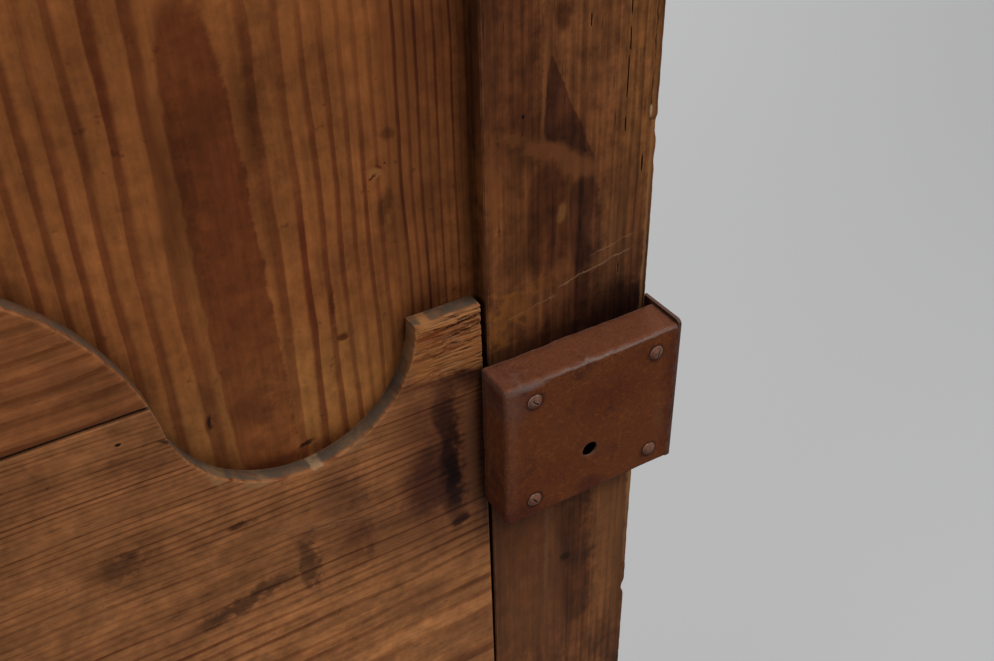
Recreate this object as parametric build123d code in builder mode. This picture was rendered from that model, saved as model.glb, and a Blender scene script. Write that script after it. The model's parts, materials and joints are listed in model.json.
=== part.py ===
from build123d import *

import os
from math import asin, atan2, cos, degrees, hypot, pi, radians, sin, sqrt

# Old round-headed pine door: one frame-and-panel leaf, its rim lock and its rebated timber frame.
# Millimetres. +X points into the room, +Y from the hinge jamb to the lock jamb, +Z up.
# The origin is on the floor, in the middle of the doorway and of the frame's depth.
# The leaf stands open at right angles to the frame, with its lock face towards -Y.

# Leaf
leaf_width = 800.0
leaf_thickness = 30.0
stile_width = 100.0
spring_height = 1650.0
foot_gap = 8.0
panel_recess = 10.0
panel_thickness = 10.0
groove_depth = 10.0
panel_play = 1.0
groove_play = 0.3
arris = 0.8
cut_over = 1.0

# Shaped mid rail: ears, half-round dips and a wide crest, struck as tangent arcs
lock_top = 1050.0
ear_over_lock = 39.7
ear_width = 40.0
dip_radius = 62.0
crest_drop = 30.0
joint_rise = 5.8
open_joint = 1.6
mid_rail_low = 770.0
shoulder_open_top = 3.6
shoulder_open_low = 1.6
shoulder_shut = 0.4
bottom_rail_top = 248.0

# Joinery
tenon_length = 70.0
tenon_fit = 0.1
high_tenon_height = 38.0
low_tenon_height = 145.0
tenon_edge = 25.0
bottom_tenon_height = 165.0
bottom_tenon_foot = 30.0
peg_radius = 4.5
peg_fit = 0.1
peg_set_in = 28.0
peg_stop = 5.0
peg_from_tenon_end = 34.0
dowel_radius = 4.0
dowel_length = 60.0
dowel_edge = 46.0
arch_pieces = 3
leaf_tongue_set_in = 62.0
leaf_tongue_width = 46.0
leaf_tongue_length = 84.0
leaf_tongue_peg = 22.0
board_tongue = 5.0
board_tongue_thickness = 3.4
board_tongue_fit = 0.15

# Wear of the lock stile's outer edge
split_start_over_lock = 112.0
split_length = 210.0
split_width = 5.0
split_depth = 1.3
bevel_length = 110.0
bevel_width = 5.0
bevel_depth = 1.2

# Frame
frame_depth = 90.0
frame_face_width = 81.0
rebate_width = 14.0
leaf_clearance = 1.0
edge_gap = 2.5
frame_chamfer = 5.0
threshold_height = 28.0
threshold_tenon = 26.0
threshold_tenon_thickness = 16.0
threshold_chamfer = 4.0
frame_tongue_thickness = 20.0
frame_tongue_width = 50.0
frame_tongue_length = 110.0
frame_tongue_peg = 28.0
frame_peg_radius = 6.0
fixing_hole_radius = 6.0
fixing_count = 3
fixing_first = 200.0
fixing_under_spring = 150.0

# Hinges
low_hinge_foot = 215.0
hinge_over_mid_rail = 65.0
hinge_under_spring = 195.0
hinge_height = 90.0
knuckle_radius = 6.5
knuckle_lift = 0.3
knuckle_gap = 0.2
pin_radius = 4.0
pin_play = 0.08
pin_short = 3.0
wing_thickness = 3.0
wing_width = 52.0
wing_clear = 1.5
nail_head_radius = 4.6
nail_head_rise = 2.2
nail_shank_radius = 1.8
nail_length = 24.0
nail_edge = 12.0

# Rim lock
case_width = 109.7
case_height = 95.9
case_depth = 23.0
case_over_rail = 4.3
sheet = 1.6
case_fold = 2.4
case_soft_corner = 5.0
case_seam_corner = 2.6
forend_thickness = 2.0
forend_rise = 1.6
forend_back = 8.0
forend_corner = 3.0
forend_play = 1.6
backplate_thickness = 1.5
screw_inset = 18.0
screw_right_inset = 13.8
screw_from_top = 13.9
screw_from_low = 12.8
screw_head_radius = 4.25
screw_head_rise = 2.0
screw_shank_radius = 2.0
screw_length = 42.0
screw_slot_width = 1.1
screw_slot_depth = 1.0
screw_slot_angles = (-38.0, 64.0, -52.0, 20.0)
post_radius = 4.0
post_fit = 0.1
key_x = 49.9
key_from_top = 63.7
pilot_radius = 4.9
keyhole_radius = 5.5
keyhole_slot = 6.0
keyhole_drop = 20.0

# Bolt
bolt_throw = 18.0
bolt_head_length = 27.0
bolt_head_height = 22.0
bolt_bar_height = 16.0
bolt_bar_length = 66.0
bolt_thickness = 10.0
bolt_from_face = 6.0
bolt_from_top = 36.0
bolt_set_back = 0.4
bolt_play = 0.3
guide_radius = 2.5
guide_x = 40.0
talon_width = 8.0
talon_depth = 3.5
talon_spacing = 18.0
spring_thickness = 0.8
spring_width = 7.0
spring_length = 44.0
spring_clear = 0.3
spring_bow_along = 24.0
spring_bow_rise = 7.0

# Keeper on the lock jamb
keeper_strap = 3.0
keeper_bend = 2.6
keeper_width = 18.0
keeper_play = 1.5
keeper_foot = 24.0
keeper_set_off = 3.6
jamb_notch_play = 2.0

# Derived sizes of the leaf
hinge_feet = (low_hinge_foot, mid_rail_low + hinge_over_mid_rail, spring_height - hinge_under_spring)
half_opening = leaf_width / 2 - stile_width
half_leaf = leaf_width / 2
groove_width = panel_thickness + groove_play
ear_top = lock_top + ear_over_lock
dip_u = half_opening - ear_width - dip_radius
crest_v = ear_top - crest_drop
crest_radius = hypot(dip_u, crest_drop) - dip_radius
rail_tilt = degrees(atan2(crest_drop, dip_u))
joint_v = ear_top + joint_rise
dowel_top = joint_v + dowel_length / 2
dowel_spread = sqrt(crest_radius ** 2 - (dowel_top - crest_v) ** 2) - dowel_edge
half_turn = degrees(pi)
piece_angle = half_turn / arch_pieces
tenon_thickness = panel_thickness
arch_tongue_radius = half_opening + leaf_tongue_set_in

# Derived places: the pin stands on the room side of the joint between leaf and jamb
frame_face_x = frame_depth / 2
pin_x = frame_face_x + knuckle_lift + knuckle_radius
pin_y = -(half_leaf + edge_gap / 2)
leaf_face_y = pin_y + knuckle_radius + knuckle_lift
leaf_centre_x = pin_x + edge_gap / 2 + half_leaf
stop_x = frame_face_x - leaf_thickness - leaf_clearance
rebate_radius = half_leaf + edge_gap
stop_radius = rebate_radius - rebate_width
frame_radius = rebate_radius + frame_face_width
frame_tongue_radius = (rebate_radius + frame_radius) / 2
frame_tongue_x = (stop_x - frame_face_x) / 2
bottom_rail_low = foot_gap

# Derived sizes of the lock
lock_u = half_opening
case_left = lock_u - case_over_rail
case_right = case_left + case_width
forend_right = case_right + forend_thickness
case_low = lock_top - case_height
key_u = lock_u + key_x
key_v = lock_top - key_from_top
screw_points = [
    (case_left + screw_inset, lock_top - screw_from_top),
    (case_right - screw_right_inset, lock_top - screw_from_top),
    (case_left + screw_inset, case_low + screw_from_low),
    (case_right - screw_right_inset, case_low + screw_from_low),
]
bolt_v = lock_top - bolt_from_top
bolt_end = forend_right - bolt_set_back
bolt_room_side = bolt_from_face + bolt_thickness


def face_at(depth):
    """Plane of the leaf's lock face, moved into the wood by depth; local x is across the leaf."""
    return Plane(origin=(leaf_centre_x, leaf_face_y + depth, 0), x_dir=(1, 0, 0), z_dir=(0, -1, 0))


def frame_at(x):
    """Plane parallel to the doorway at x; local x is along the doorway and local y is up."""
    return Plane(origin=(x, 0, 0), x_dir=(0, 1, 0), z_dir=(1, 0, 0))


def leaf_floor(height):
    """Level plane centred on the leaf; local x is across the leaf and local y is depth."""
    return Plane(origin=(leaf_centre_x, leaf_face_y, height), x_dir=(1, 0, 0), z_dir=(0, 0, 1))


def block(plane, left, right, low, high):
    """Rectangle between four limits."""
    with BuildSketch(plane) as outline:
        with Locations(((left + right) / 2, (low + high) / 2)):
            Rectangle(right - left, high - low)
    return outline.sketch


def discs(plane, points, radius):
    """Circles of one radius at several points."""
    with BuildSketch(plane) as outline:
        with Locations(*points):
            Circle(radius)
    return outline.sketch


def polygon(plane, points):
    """Straight-sided outline through its corners."""
    with BuildSketch(plane) as outline:
        with BuildLine():
            Polyline(*points, close=True)
        make_face()
    return outline.sketch


def upper_opening(plane, grow=0.0):
    """Upper sight opening: the shaped rail below, the stiles and the round head, grown evenly."""
    reach = dip_radius + grow
    start = -degrees(asin(grow / reach))
    sweep = rail_tilt - half_turn - start
    side = half_opening + grow
    with BuildSketch(plane) as outline:
        with BuildLine():
            lock_dip = CenterArc((dip_u, ear_top), reach, start, sweep)
            CenterArc((0, crest_v), crest_radius - grow, rail_tilt, half_turn - 2 * rail_tilt)
            hinge_dip = CenterArc((-dip_u, ear_top), reach, half_turn - start, -sweep)
            Polyline(lock_dip @ 0, (side, ear_top - grow), (side, spring_height))
            Polyline(hinge_dip @ 0, (-side, ear_top - grow), (-side, spring_height))
            CenterArc((0, spring_height), side, 0, half_turn)
        make_face()
    return outline.sketch


def lower_opening(plane, grow=0.0):
    """Lower sight opening between the bottom rail and the mid rail, grown evenly."""
    side = half_opening + grow
    return block(plane, -side, side, bottom_rail_top - grow, mid_rail_low + grow)


def radial_tongues(plane, radius, width, length):
    """Loose tongues across every joint round an arch."""
    with BuildSketch(plane) as outline:
        with Locations((0, spring_height)):
            with PolarLocations(radius, arch_pieces + 1, 0, half_turn, endpoint=True):
                Rectangle(width, length)
    return outline.sketch


def leaf_tongue_seats():
    """Seats of the leaf's loose tongues, a fit larger than the tongues."""
    return radial_tongues(face_at(panel_recess), arch_tongue_radius, leaf_tongue_width + 2 * tenon_fit,
                          leaf_tongue_length + 2 * tenon_fit)


def arch_pegs(radius, offset):
    """A peg each side of every joint round an arch."""
    points = []
    for joint in range(arch_pieces + 1):
        angle = radians(joint * piece_angle)
        for side in (-offset, offset):
            across = radius * cos(angle) - side * sin(angle)
            up = radius * sin(angle) + side * cos(angle)
            points.append((across, spring_height + up))
    return points


def domed_stud(head_radius, head_rise, shank_radius, shank_length):
    """Domed head on +Z with a pointed shank below the origin."""
    dome = (head_radius**2 + head_rise**2) / (2 * head_rise)
    half_angle = asin(head_radius / dome) / 2
    shoulder = (dome * sin(half_angle), head_rise - dome + dome * cos(half_angle))
    with BuildPart() as stud:
        with BuildSketch(Plane.XZ):
            with BuildLine():
                ThreePointArc((0, head_rise), shoulder, (head_radius, 0))
                Polyline(
                    (head_radius, 0),
                    (shank_radius, 0),
                    (shank_radius, shank_radius - shank_length),
                    (0, -shank_length),
                    (0, head_rise),
                )
            make_face()
        revolve(axis=Axis.Z)
    return stud.part


# Tenons of the two flat rails, as low and high limits
high_tenon_top = ear_top - groove_depth - tenon_fit
mid_tenons = [
    (mid_rail_low + tenon_edge, mid_rail_low + tenon_edge + low_tenon_height),
    (high_tenon_top - high_tenon_height, high_tenon_top),
]
bottom_tenons = [(bottom_tenon_foot, bottom_tenon_foot + bottom_tenon_height)]
tenon_reach = half_opening + tenon_length

peg_points = []
for low, high in mid_tenons + bottom_tenons:
    for side in (-1, 1):
        across = side * (half_opening + peg_set_in)
        if high - low > 3 * peg_from_tenon_end:
            peg_points += [(across, low + peg_from_tenon_end), (across, high - peg_from_tenon_end)]
        else:
            peg_points.append((across, (low + high) / 2))
peg_points += arch_pegs(arch_tongue_radius, leaf_tongue_peg)


def leaf_peg_holes():
    """Holes for every peg of the leaf, as circles where the pegs stop short of the lock face."""
    return discs(face_at(peg_stop), peg_points, peg_radius + peg_fit)


def mortises(plane):
    """Mortises for all tenons, a fit larger all round."""
    with BuildSketch(plane) as outline:
        for low, high in mid_tenons + bottom_tenons:
            with Locations((0, (low + high) / 2)):
                Rectangle(2 * (tenon_reach + tenon_fit), high - low + 2 * tenon_fit)
    return outline.sketch


def member_section(plane, side=1):
    """Section of a stile or arch piece: grooved inner edge and eased corners."""
    inner = half_opening * side
    outer = half_leaf * side
    ease = arris * side
    groove = groove_depth * side
    back = panel_recess + groove_width
    corners = [
        (inner + ease, 0), (outer - ease, 0), (outer, arris), (outer, leaf_thickness - arris),
        (outer - ease, leaf_thickness), (inner + ease, leaf_thickness), (inner, leaf_thickness - arris),
        (inner, back), (inner + groove, back), (inner + groove, panel_recess), (inner, panel_recess),
        (inner, arris),
    ]
    return polygon(plane, corners)


def keyhole(plane):
    """Round keyhole with its slot below."""
    with BuildSketch(plane) as outline:
        with Locations((key_u, key_v)):
            Circle(keyhole_radius)
            with Locations((0, -keyhole_drop / 2)):
                Rectangle(keyhole_slot, keyhole_drop)
    return outline.sketch


made = []

# Lock stile
with BuildPart() as lock_stile:
    extrude(member_section(leaf_floor(foot_gap)), amount=spring_height - foot_gap)
    extrude(mortises(face_at(panel_recess)), amount=-groove_width, mode=Mode.SUBTRACT)
    extrude(leaf_tongue_seats(), amount=-groove_width, mode=Mode.SUBTRACT)
    extrude(leaf_peg_holes(), amount=-leaf_thickness, mode=Mode.SUBTRACT)
    extrude(keyhole(face_at(0)), amount=-leaf_thickness, mode=Mode.SUBTRACT)
    extrude(discs(face_at(0), screw_points, screw_shank_radius + peg_fit),
            amount=-(screw_length - case_depth + peg_fit), mode=Mode.SUBTRACT)
    # arris split away above the lock
    with BuildSketch(leaf_floor(lock_top + split_start_over_lock)):
        with BuildLine():
            Polyline(
                (half_leaf + cut_over, -cut_over), (half_leaf - split_width, -cut_over),
                (half_leaf - split_width, split_depth), (half_leaf - cut_over, split_depth),
                (half_leaf + cut_over, split_depth - cut_over), close=True)
        make_face()
    extrude(amount=split_length, mode=Mode.SUBTRACT)
    # bevel rubbed on the edge below the lock
    with BuildSketch(leaf_floor(case_low - bevel_length)):
        with BuildLine():
            Polyline(
                (half_leaf + cut_over, -cut_over), (half_leaf - bevel_width, -cut_over),
                (half_leaf - bevel_width, 0), (half_leaf, bevel_depth),
                (half_leaf + cut_over, bevel_depth), close=True)
        make_face()
    extrude(amount=bevel_length, mode=Mode.SUBTRACT)
made.append((lock_stile, "lock_stile"))

# Hinge stile
hinge_wing_points = []
for foot in hinge_feet:
    for height in (foot + nail_edge, foot + hinge_height / 2, foot + hinge_height - nail_edge):
        hinge_wing_points.append(height)
leaf_nail_across = pin_x + wing_width - nail_edge - leaf_centre_x
leaf_nail_points = [(leaf_nail_across, height) for height in hinge_wing_points]
jamb_nail_across = pin_y - wing_width + nail_edge
jamb_nail_points = [(jamb_nail_across, height) for height in hinge_wing_points]

with BuildPart() as hinge_stile:
    extrude(member_section(leaf_floor(foot_gap), -1), amount=spring_height - foot_gap)
    extrude(mortises(face_at(panel_recess)), amount=-groove_width, mode=Mode.SUBTRACT)
    extrude(leaf_tongue_seats(), amount=-groove_width, mode=Mode.SUBTRACT)
    extrude(leaf_peg_holes(), amount=-leaf_thickness, mode=Mode.SUBTRACT)
    extrude(discs(face_at(0), leaf_nail_points, nail_shank_radius + peg_fit),
            amount=-(nail_length - wing_thickness + peg_fit), mode=Mode.SUBTRACT)
made.append((hinge_stile, "hinge_stile"))

# The crest's dowels stand in the middle of the wood's thickness
dowel_points = [(side * dowel_spread, leaf_thickness / 2) for side in (-1, 1)]

# Mid rail: the lower board with ears and dips, on two tenons each end
with BuildPart() as mid_rail:
    extrude(
        polygon(face_at(0), [
            (-half_opening + shoulder_shut, mid_rail_low), (half_opening - shoulder_open_low, mid_rail_low),
            (half_opening - shoulder_open_top, joint_v), (-half_opening + shoulder_shut, joint_v)]),
        amount=-leaf_thickness)
    for low, high in mid_tenons:
        extrude(block(face_at(panel_recess), -tenon_reach, tenon_reach, low, high), amount=-tenon_thickness)
    extrude(upper_opening(face_at(0)), amount=-leaf_thickness, mode=Mode.SUBTRACT)
    extrude(upper_opening(face_at(panel_recess), groove_depth), amount=-groove_width, mode=Mode.SUBTRACT)
    extrude(lower_opening(face_at(panel_recess), groove_depth), amount=-groove_width, mode=Mode.SUBTRACT)
    extrude(leaf_peg_holes(), amount=-leaf_thickness, mode=Mode.SUBTRACT)
    extrude(discs(leaf_floor(joint_v), dowel_points, dowel_radius + peg_fit),
            amount=-(dowel_length / 2 + peg_fit), mode=Mode.SUBTRACT)
    # the middle hinge's nails pass through the tenon
    extrude(discs(face_at(0), leaf_nail_points, nail_shank_radius + peg_fit),
            amount=-(nail_length - wing_thickness + peg_fit), mode=Mode.SUBTRACT)
made.append((mid_rail, "mid_rail"))

# Crest: the upper board of the mid rail, standing on an open glue joint
crest_foot = joint_v + open_joint
with BuildPart() as mid_rail_crest:
    extrude(block(face_at(0), -crest_radius, crest_radius, crest_foot, crest_v + crest_radius),
            amount=-leaf_thickness)
    extrude(upper_opening(face_at(0)), amount=-leaf_thickness, mode=Mode.SUBTRACT)
    extrude(upper_opening(face_at(panel_recess), groove_depth), amount=-groove_width, mode=Mode.SUBTRACT)
    extrude(discs(leaf_floor(crest_foot), dowel_points, dowel_radius + peg_fit),
            amount=dowel_length / 2 - open_joint + peg_fit, mode=Mode.SUBTRACT)
made.append((mid_rail_crest, "mid_rail_crest"))

with BuildPart() as crest_dowels:
    extrude(discs(leaf_floor(joint_v - dowel_length / 2), dowel_points, dowel_radius), amount=dowel_length)
made.append((crest_dowels, "crest_dowels"))

# Bottom rail
with BuildPart() as bottom_rail:
    extrude(
        block(face_at(0), -half_opening + shoulder_shut, half_opening - shoulder_shut, bottom_rail_low,
              bottom_rail_top),
        amount=-leaf_thickness)
    for low, high in bottom_tenons:
        extrude(block(face_at(panel_recess), -tenon_reach, tenon_reach, low, high), amount=-tenon_thickness)
    extrude(lower_opening(face_at(panel_recess), groove_depth), amount=-groove_width, mode=Mode.SUBTRACT)
    extrude(leaf_peg_holes(), amount=-leaf_thickness, mode=Mode.SUBTRACT)
made.append((bottom_rail, "bottom_rail"))

# Round head of the leaf, in pieces that butt on radial joints over loose tongues
leaf_arch_axis = Axis((leaf_centre_x, leaf_face_y, spring_height), (0, -1, 0))
for number, name in enumerate(("leaf_arch_lock_side", "leaf_arch_crown", "leaf_arch_hinge_side")):
    with BuildPart() as leaf_arch:
        section = member_section(leaf_floor(spring_height))
        revolve(section.rotate(leaf_arch_axis, number * piece_angle), axis=leaf_arch_axis,
                revolution_arc=piece_angle)
        extrude(leaf_tongue_seats(), amount=-groove_width, mode=Mode.SUBTRACT)
        extrude(leaf_peg_holes(), amount=-leaf_thickness, mode=Mode.SUBTRACT)
    made.append((leaf_arch, name))

with BuildPart() as leaf_arch_tongues:
    extrude(
        radial_tongues(face_at(panel_recess), arch_tongue_radius, leaf_tongue_width, leaf_tongue_length),
        amount=-tenon_thickness)
    extrude(discs(face_at(0), peg_points, peg_radius + peg_fit), amount=-leaf_thickness, mode=Mode.SUBTRACT)
made.append((leaf_arch_tongues, "leaf_arch_tongues"))

with BuildPart() as leaf_pegs:
    extrude(discs(face_at(peg_stop), peg_points, peg_radius), amount=-(leaf_thickness - peg_stop))
made.append((leaf_pegs, "leaf_pegs"))

# Panels: two upright boards each, tongued and grooved together on the leaf's centre line
panel_grow = groove_depth - panel_play
cheek = (panel_thickness - board_tongue_thickness) / 2
panel_shapes = {"upper": upper_opening, "lower": lower_opening}
for level, shape in panel_shapes.items():
    with BuildPart() as hinge_board:
        extrude(shape(face_at(panel_recess), panel_grow), amount=-panel_thickness)
        extrude(block(face_at(panel_recess), board_tongue, half_leaf, 0, spring_height + half_leaf),
                amount=-panel_thickness, mode=Mode.SUBTRACT)
        for depth in (0, cheek + board_tongue_thickness):
            extrude(block(face_at(panel_recess + depth), 0, half_leaf, 0, spring_height + half_leaf),
                    amount=-cheek, mode=Mode.SUBTRACT)
    made.append((hinge_board, f"{level}_panel_hinge_side"))
    with BuildPart() as lock_board:
        extrude(shape(face_at(panel_recess), panel_grow), amount=-panel_thickness)
        extrude(block(face_at(panel_recess), -half_leaf, 0, 0, spring_height + half_leaf),
                amount=-panel_thickness, mode=Mode.SUBTRACT)
        extrude(
            block(face_at(panel_recess + cheek - board_tongue_fit), 0, board_tongue + board_tongue_fit, 0,
                  spring_height + half_leaf),
            amount=-(board_tongue_thickness + 2 * board_tongue_fit), mode=Mode.SUBTRACT)
    made.append((lock_board, f"{level}_panel_lock_side"))


# Frame section: rebated on the room side, chamfered corners
def frame_section(plane, side=1):
    """Section of a jamb or head piece; local x is along the doorway and local y is depth."""
    stop = stop_radius * side
    rebate = rebate_radius * side
    outer = frame_radius * side
    cut = frame_chamfer * side
    low = -frame_face_x
    corners = [
        (stop + cut, low), (outer, low), (outer, frame_face_x - frame_chamfer), (outer - cut, frame_face_x),
        (rebate, frame_face_x), (rebate, stop_x), (stop, stop_x), (stop, low + frame_chamfer),
    ]
    return polygon(plane, corners)


def doorway_floor(height):
    """Level plane on the doorway; local x is along the doorway and local y is into the room."""
    return Plane(origin=(0, 0, height), x_dir=(0, 1, 0), z_dir=(0, 0, -1))


frame_peg_points = arch_pegs(frame_tongue_radius, frame_tongue_peg)
frame_tongue_room = frame_tongue_x + frame_tongue_thickness / 2
frame_tongue_seat = frame_tongue_room + tenon_fit
fixing_spacing = (spring_height - fixing_under_spring - fixing_first) / (fixing_count - 1)
fixing_heights = [fixing_first + step * fixing_spacing for step in range(fixing_count)]
fixing_x = frame_tongue_x
threshold_tenon_low = (threshold_height - threshold_tenon_thickness) / 2
threshold_tenon_room = stop_x - rebate_width
threshold_tenon_out = rebate_width - frame_face_x
threshold_reach = stop_radius + threshold_tenon
threshold_seat_depth = threshold_tenon_room - threshold_tenon_out + 2 * tenon_fit


def threshold_tenon_block(fit):
    """Upright outline of the threshold's tenons, a fit larger all round."""
    return block(
        frame_at(threshold_tenon_room + fit), -threshold_reach - fit, threshold_reach + fit,
        threshold_tenon_low - fit, threshold_tenon_low + threshold_tenon_thickness + fit)


def cut_frame_joints():
    """Take the tongue seats and peg holes out of the part being built."""
    extrude(
        radial_tongues(frame_at(frame_tongue_seat), frame_tongue_radius, frame_tongue_width + 2 * tenon_fit,
                       frame_tongue_length + 2 * tenon_fit),
        amount=-(frame_tongue_thickness + 2 * tenon_fit), mode=Mode.SUBTRACT)
    extrude(discs(frame_at(frame_face_x), frame_peg_points, frame_peg_radius + peg_fit), amount=-frame_depth,
            mode=Mode.SUBTRACT)


with BuildPart() as hinge_jamb:
    extrude(frame_section(doorway_floor(spring_height), -1), amount=spring_height)
    cut_frame_joints()
    extrude(threshold_tenon_block(tenon_fit), amount=-threshold_seat_depth, mode=Mode.SUBTRACT)
    with BuildSketch(Plane.XZ.offset(frame_radius + cut_over)):
        with Locations(*[(fixing_x, height) for height in fixing_heights]):
            Circle(fixing_hole_radius)
    extrude(amount=-(frame_radius - stop_radius + 2 * cut_over), mode=Mode.SUBTRACT)
    extrude(discs(frame_at(frame_face_x), jamb_nail_points, nail_shank_radius + peg_fit),
            amount=-(nail_length - wing_thickness + peg_fit), mode=Mode.SUBTRACT)
made.append((hinge_jamb, "hinge_jamb"))

# Keeper nails line up with the strap's feet
leg_half = bolt_head_height / 2 + keeper_play
keeper_left = forend_right + keeper_set_off
keeper_mid = keeper_left + keeper_width / 2
keeper_foot_mid = leg_half + keeper_strap + keeper_foot / 2
keeper_nail_points = [(keeper_mid, bolt_v + keeper_foot_mid), (keeper_mid, bolt_v - keeper_foot_mid)]

with BuildPart() as lock_jamb:
    extrude(frame_section(doorway_floor(spring_height), 1), amount=spring_height)
    cut_frame_joints()
    extrude(threshold_tenon_block(tenon_fit), amount=-threshold_seat_depth, mode=Mode.SUBTRACT)
    with BuildSketch(Plane.XZ.offset(-frame_radius - cut_over)):
        with Locations(*[(fixing_x, height) for height in fixing_heights]):
            Circle(fixing_hole_radius)
    extrude(amount=frame_radius - stop_radius + 2 * cut_over, mode=Mode.SUBTRACT)
    # housing for the forend when the leaf is shut
    extrude(
        block(frame_at(frame_face_x), stop_radius, forend_right + forend_play, case_low - jamb_notch_play,
              lock_top + forend_rise + jamb_notch_play),
        amount=-(forend_back + jamb_notch_play), mode=Mode.SUBTRACT)
    extrude(discs(frame_at(frame_face_x), keeper_nail_points, nail_shank_radius + peg_fit),
            amount=-(nail_length - keeper_strap + peg_fit), mode=Mode.SUBTRACT)
made.append((lock_jamb, "lock_jamb"))

frame_arch_axis = Axis((0, 0, spring_height), (1, 0, 0))
for number, name in enumerate(("frame_head_lock_side", "frame_head_crown", "frame_head_hinge_side")):
    with BuildPart() as frame_head:
        section = frame_section(doorway_floor(spring_height))
        revolve(section.rotate(frame_arch_axis, number * piece_angle), axis=frame_arch_axis,
                revolution_arc=piece_angle)
        cut_frame_joints()
    made.append((frame_head, name))

with BuildPart() as frame_tongues:
    extrude(
        radial_tongues(frame_at(frame_tongue_room), frame_tongue_radius, frame_tongue_width,
                       frame_tongue_length),
        amount=-frame_tongue_thickness)
    extrude(discs(frame_at(frame_face_x), frame_peg_points, frame_peg_radius + peg_fit), amount=-frame_depth,
            mode=Mode.SUBTRACT)
made.append((frame_tongues, "frame_tongues"))

with BuildPart() as frame_pegs:
    extrude(discs(frame_at(frame_face_x), frame_peg_points, frame_peg_radius), amount=-frame_depth)
made.append((frame_pegs, "frame_pegs"))

with BuildPart() as threshold:
    extrude(block(frame_at(stop_x), -stop_radius, stop_radius, 0, threshold_height),
            amount=-(stop_x + frame_face_x))
    chamfer(threshold.edges().filter_by(Axis.Y).group_by(Axis.Z)[-1], threshold_chamfer)
    extrude(threshold_tenon_block(0), amount=threshold_tenon_out - threshold_tenon_room)
made.append((threshold, "threshold"))

# Lift-off hinges: the frame half carries the pin, the leaf half drops over it
knuckle_half = hinge_height / 2
wing_near = knuckle_radius + wing_clear
nail_blank = domed_stud(nail_head_radius, nail_head_rise, nail_shank_radius, nail_length)
for foot, place in zip(hinge_feet, ("bottom", "middle", "top")):
    middle = foot + knuckle_half
    head = foot + hinge_height
    with BuildPart() as pin_half:
        extrude(discs(Plane.XY.offset(foot), [(pin_x, pin_y)], knuckle_radius), amount=knuckle_half)
        extrude(discs(Plane.XY.offset(foot), [(pin_x, pin_y)], pin_radius), amount=hinge_height - pin_short)
        extrude(
            polygon(frame_at(frame_face_x), [
                (pin_y, foot), (pin_y, middle), (pin_y - wing_near, middle), (pin_y - wing_near, head),
                (pin_y - wing_width, head), (pin_y - wing_width, foot)]),
            amount=wing_thickness + knuckle_lift)
        extrude(discs(frame_at(frame_face_x), jamb_nail_points, nail_shank_radius + peg_fit),
                amount=wing_thickness + knuckle_lift, mode=Mode.SUBTRACT)
    made.append((pin_half, f"hinge_pin_half_{place}"))
    pin_u = pin_x - leaf_centre_x
    with BuildPart() as leaf_half:
        extrude(discs(Plane.XY.offset(middle + knuckle_gap), [(pin_x, pin_y)], knuckle_radius),
                amount=knuckle_half - knuckle_gap)
        extrude(
            polygon(face_at(0), [
                (pin_u, middle + knuckle_gap), (pin_u, head), (pin_u + wing_width, head),
                (pin_u + wing_width, foot), (pin_u + wing_near, foot),
                (pin_u + wing_near, middle + knuckle_gap)]),
            amount=wing_thickness + knuckle_lift)
        extrude(discs(Plane.XY.offset(foot), [(pin_x, pin_y)], pin_radius + pin_play), amount=hinge_height,
                mode=Mode.SUBTRACT)
        extrude(discs(face_at(0), leaf_nail_points, nail_shank_radius + peg_fit),
                amount=wing_thickness + knuckle_lift, mode=Mode.SUBTRACT)
    made.append((leaf_half, f"hinge_leaf_half_{place}"))

with BuildPart(face_at(-wing_thickness - knuckle_lift)) as leaf_hinge_nails:
    with Locations(*leaf_nail_points):
        add(nail_blank)
made.append((leaf_hinge_nails, "leaf_hinge_nails"))

with BuildPart(frame_at(frame_face_x + wing_thickness + knuckle_lift)) as jamb_hinge_nails:
    with Locations(*jamb_nail_points):
        add(nail_blank)
made.append((jamb_hinge_nails, "jamb_hinge_nails"))

# Lock case: one folded sheet, open to the stile and to the forend
with BuildPart() as lock_case:
    extrude(block(face_at(0), case_left, case_right, case_low, lock_top), amount=case_depth)
    across_edges = lock_case.edges().filter_by(Axis.Y).group_by(Axis.X)[0].sort_by(Axis.Z)
    fillet(across_edges[0], case_soft_corner)
    fillet(lock_case.edges().filter_by(Axis.Y).group_by(Axis.X)[0].sort_by(Axis.Z)[-1], case_seam_corner)
    room_face = lock_case.faces().sort_by(Axis.Y)[0]
    right_edge = room_face.edges().sort_by(Axis.X)[-1]
    fillet([edge for edge in room_face.edges() if edge.center().X < right_edge.center().X - 1], case_fold)
    open_sides = [lock_case.faces().sort_by(Axis.Y)[-1], lock_case.faces().sort_by(Axis.X)[-1]]
    offset(amount=-sheet, openings=open_sides)
    extrude(discs(face_at(-case_depth - cut_over), screw_points, screw_shank_radius + peg_fit),
            amount=-(sheet + 2 * cut_over), mode=Mode.SUBTRACT)
    extrude(discs(face_at(-case_depth - cut_over), [(key_u, key_v)], pilot_radius),
            amount=-(sheet + 2 * cut_over), mode=Mode.SUBTRACT)
made.append((lock_case, "lock_case"))

# Forend: the plate at the lock edge, run back past the stile's face
with BuildPart() as lock_forend:
    extrude(
        block(face_at(forend_back), case_right, forend_right, case_low - forend_rise / 2,
              lock_top + forend_rise),
        amount=case_depth + forend_back)
    fillet(lock_forend.edges().filter_by(Axis.X).group_by(Axis.Y)[0], forend_corner)
    extrude(
        block(face_at(-bolt_from_face + bolt_play), case_right - cut_over, forend_right + cut_over,
              bolt_v - bolt_head_height / 2 - bolt_play, bolt_v + bolt_head_height / 2 + bolt_play),
        amount=bolt_thickness + 2 * bolt_play, mode=Mode.SUBTRACT)
made.append((lock_forend, "lock_forend"))

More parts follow.
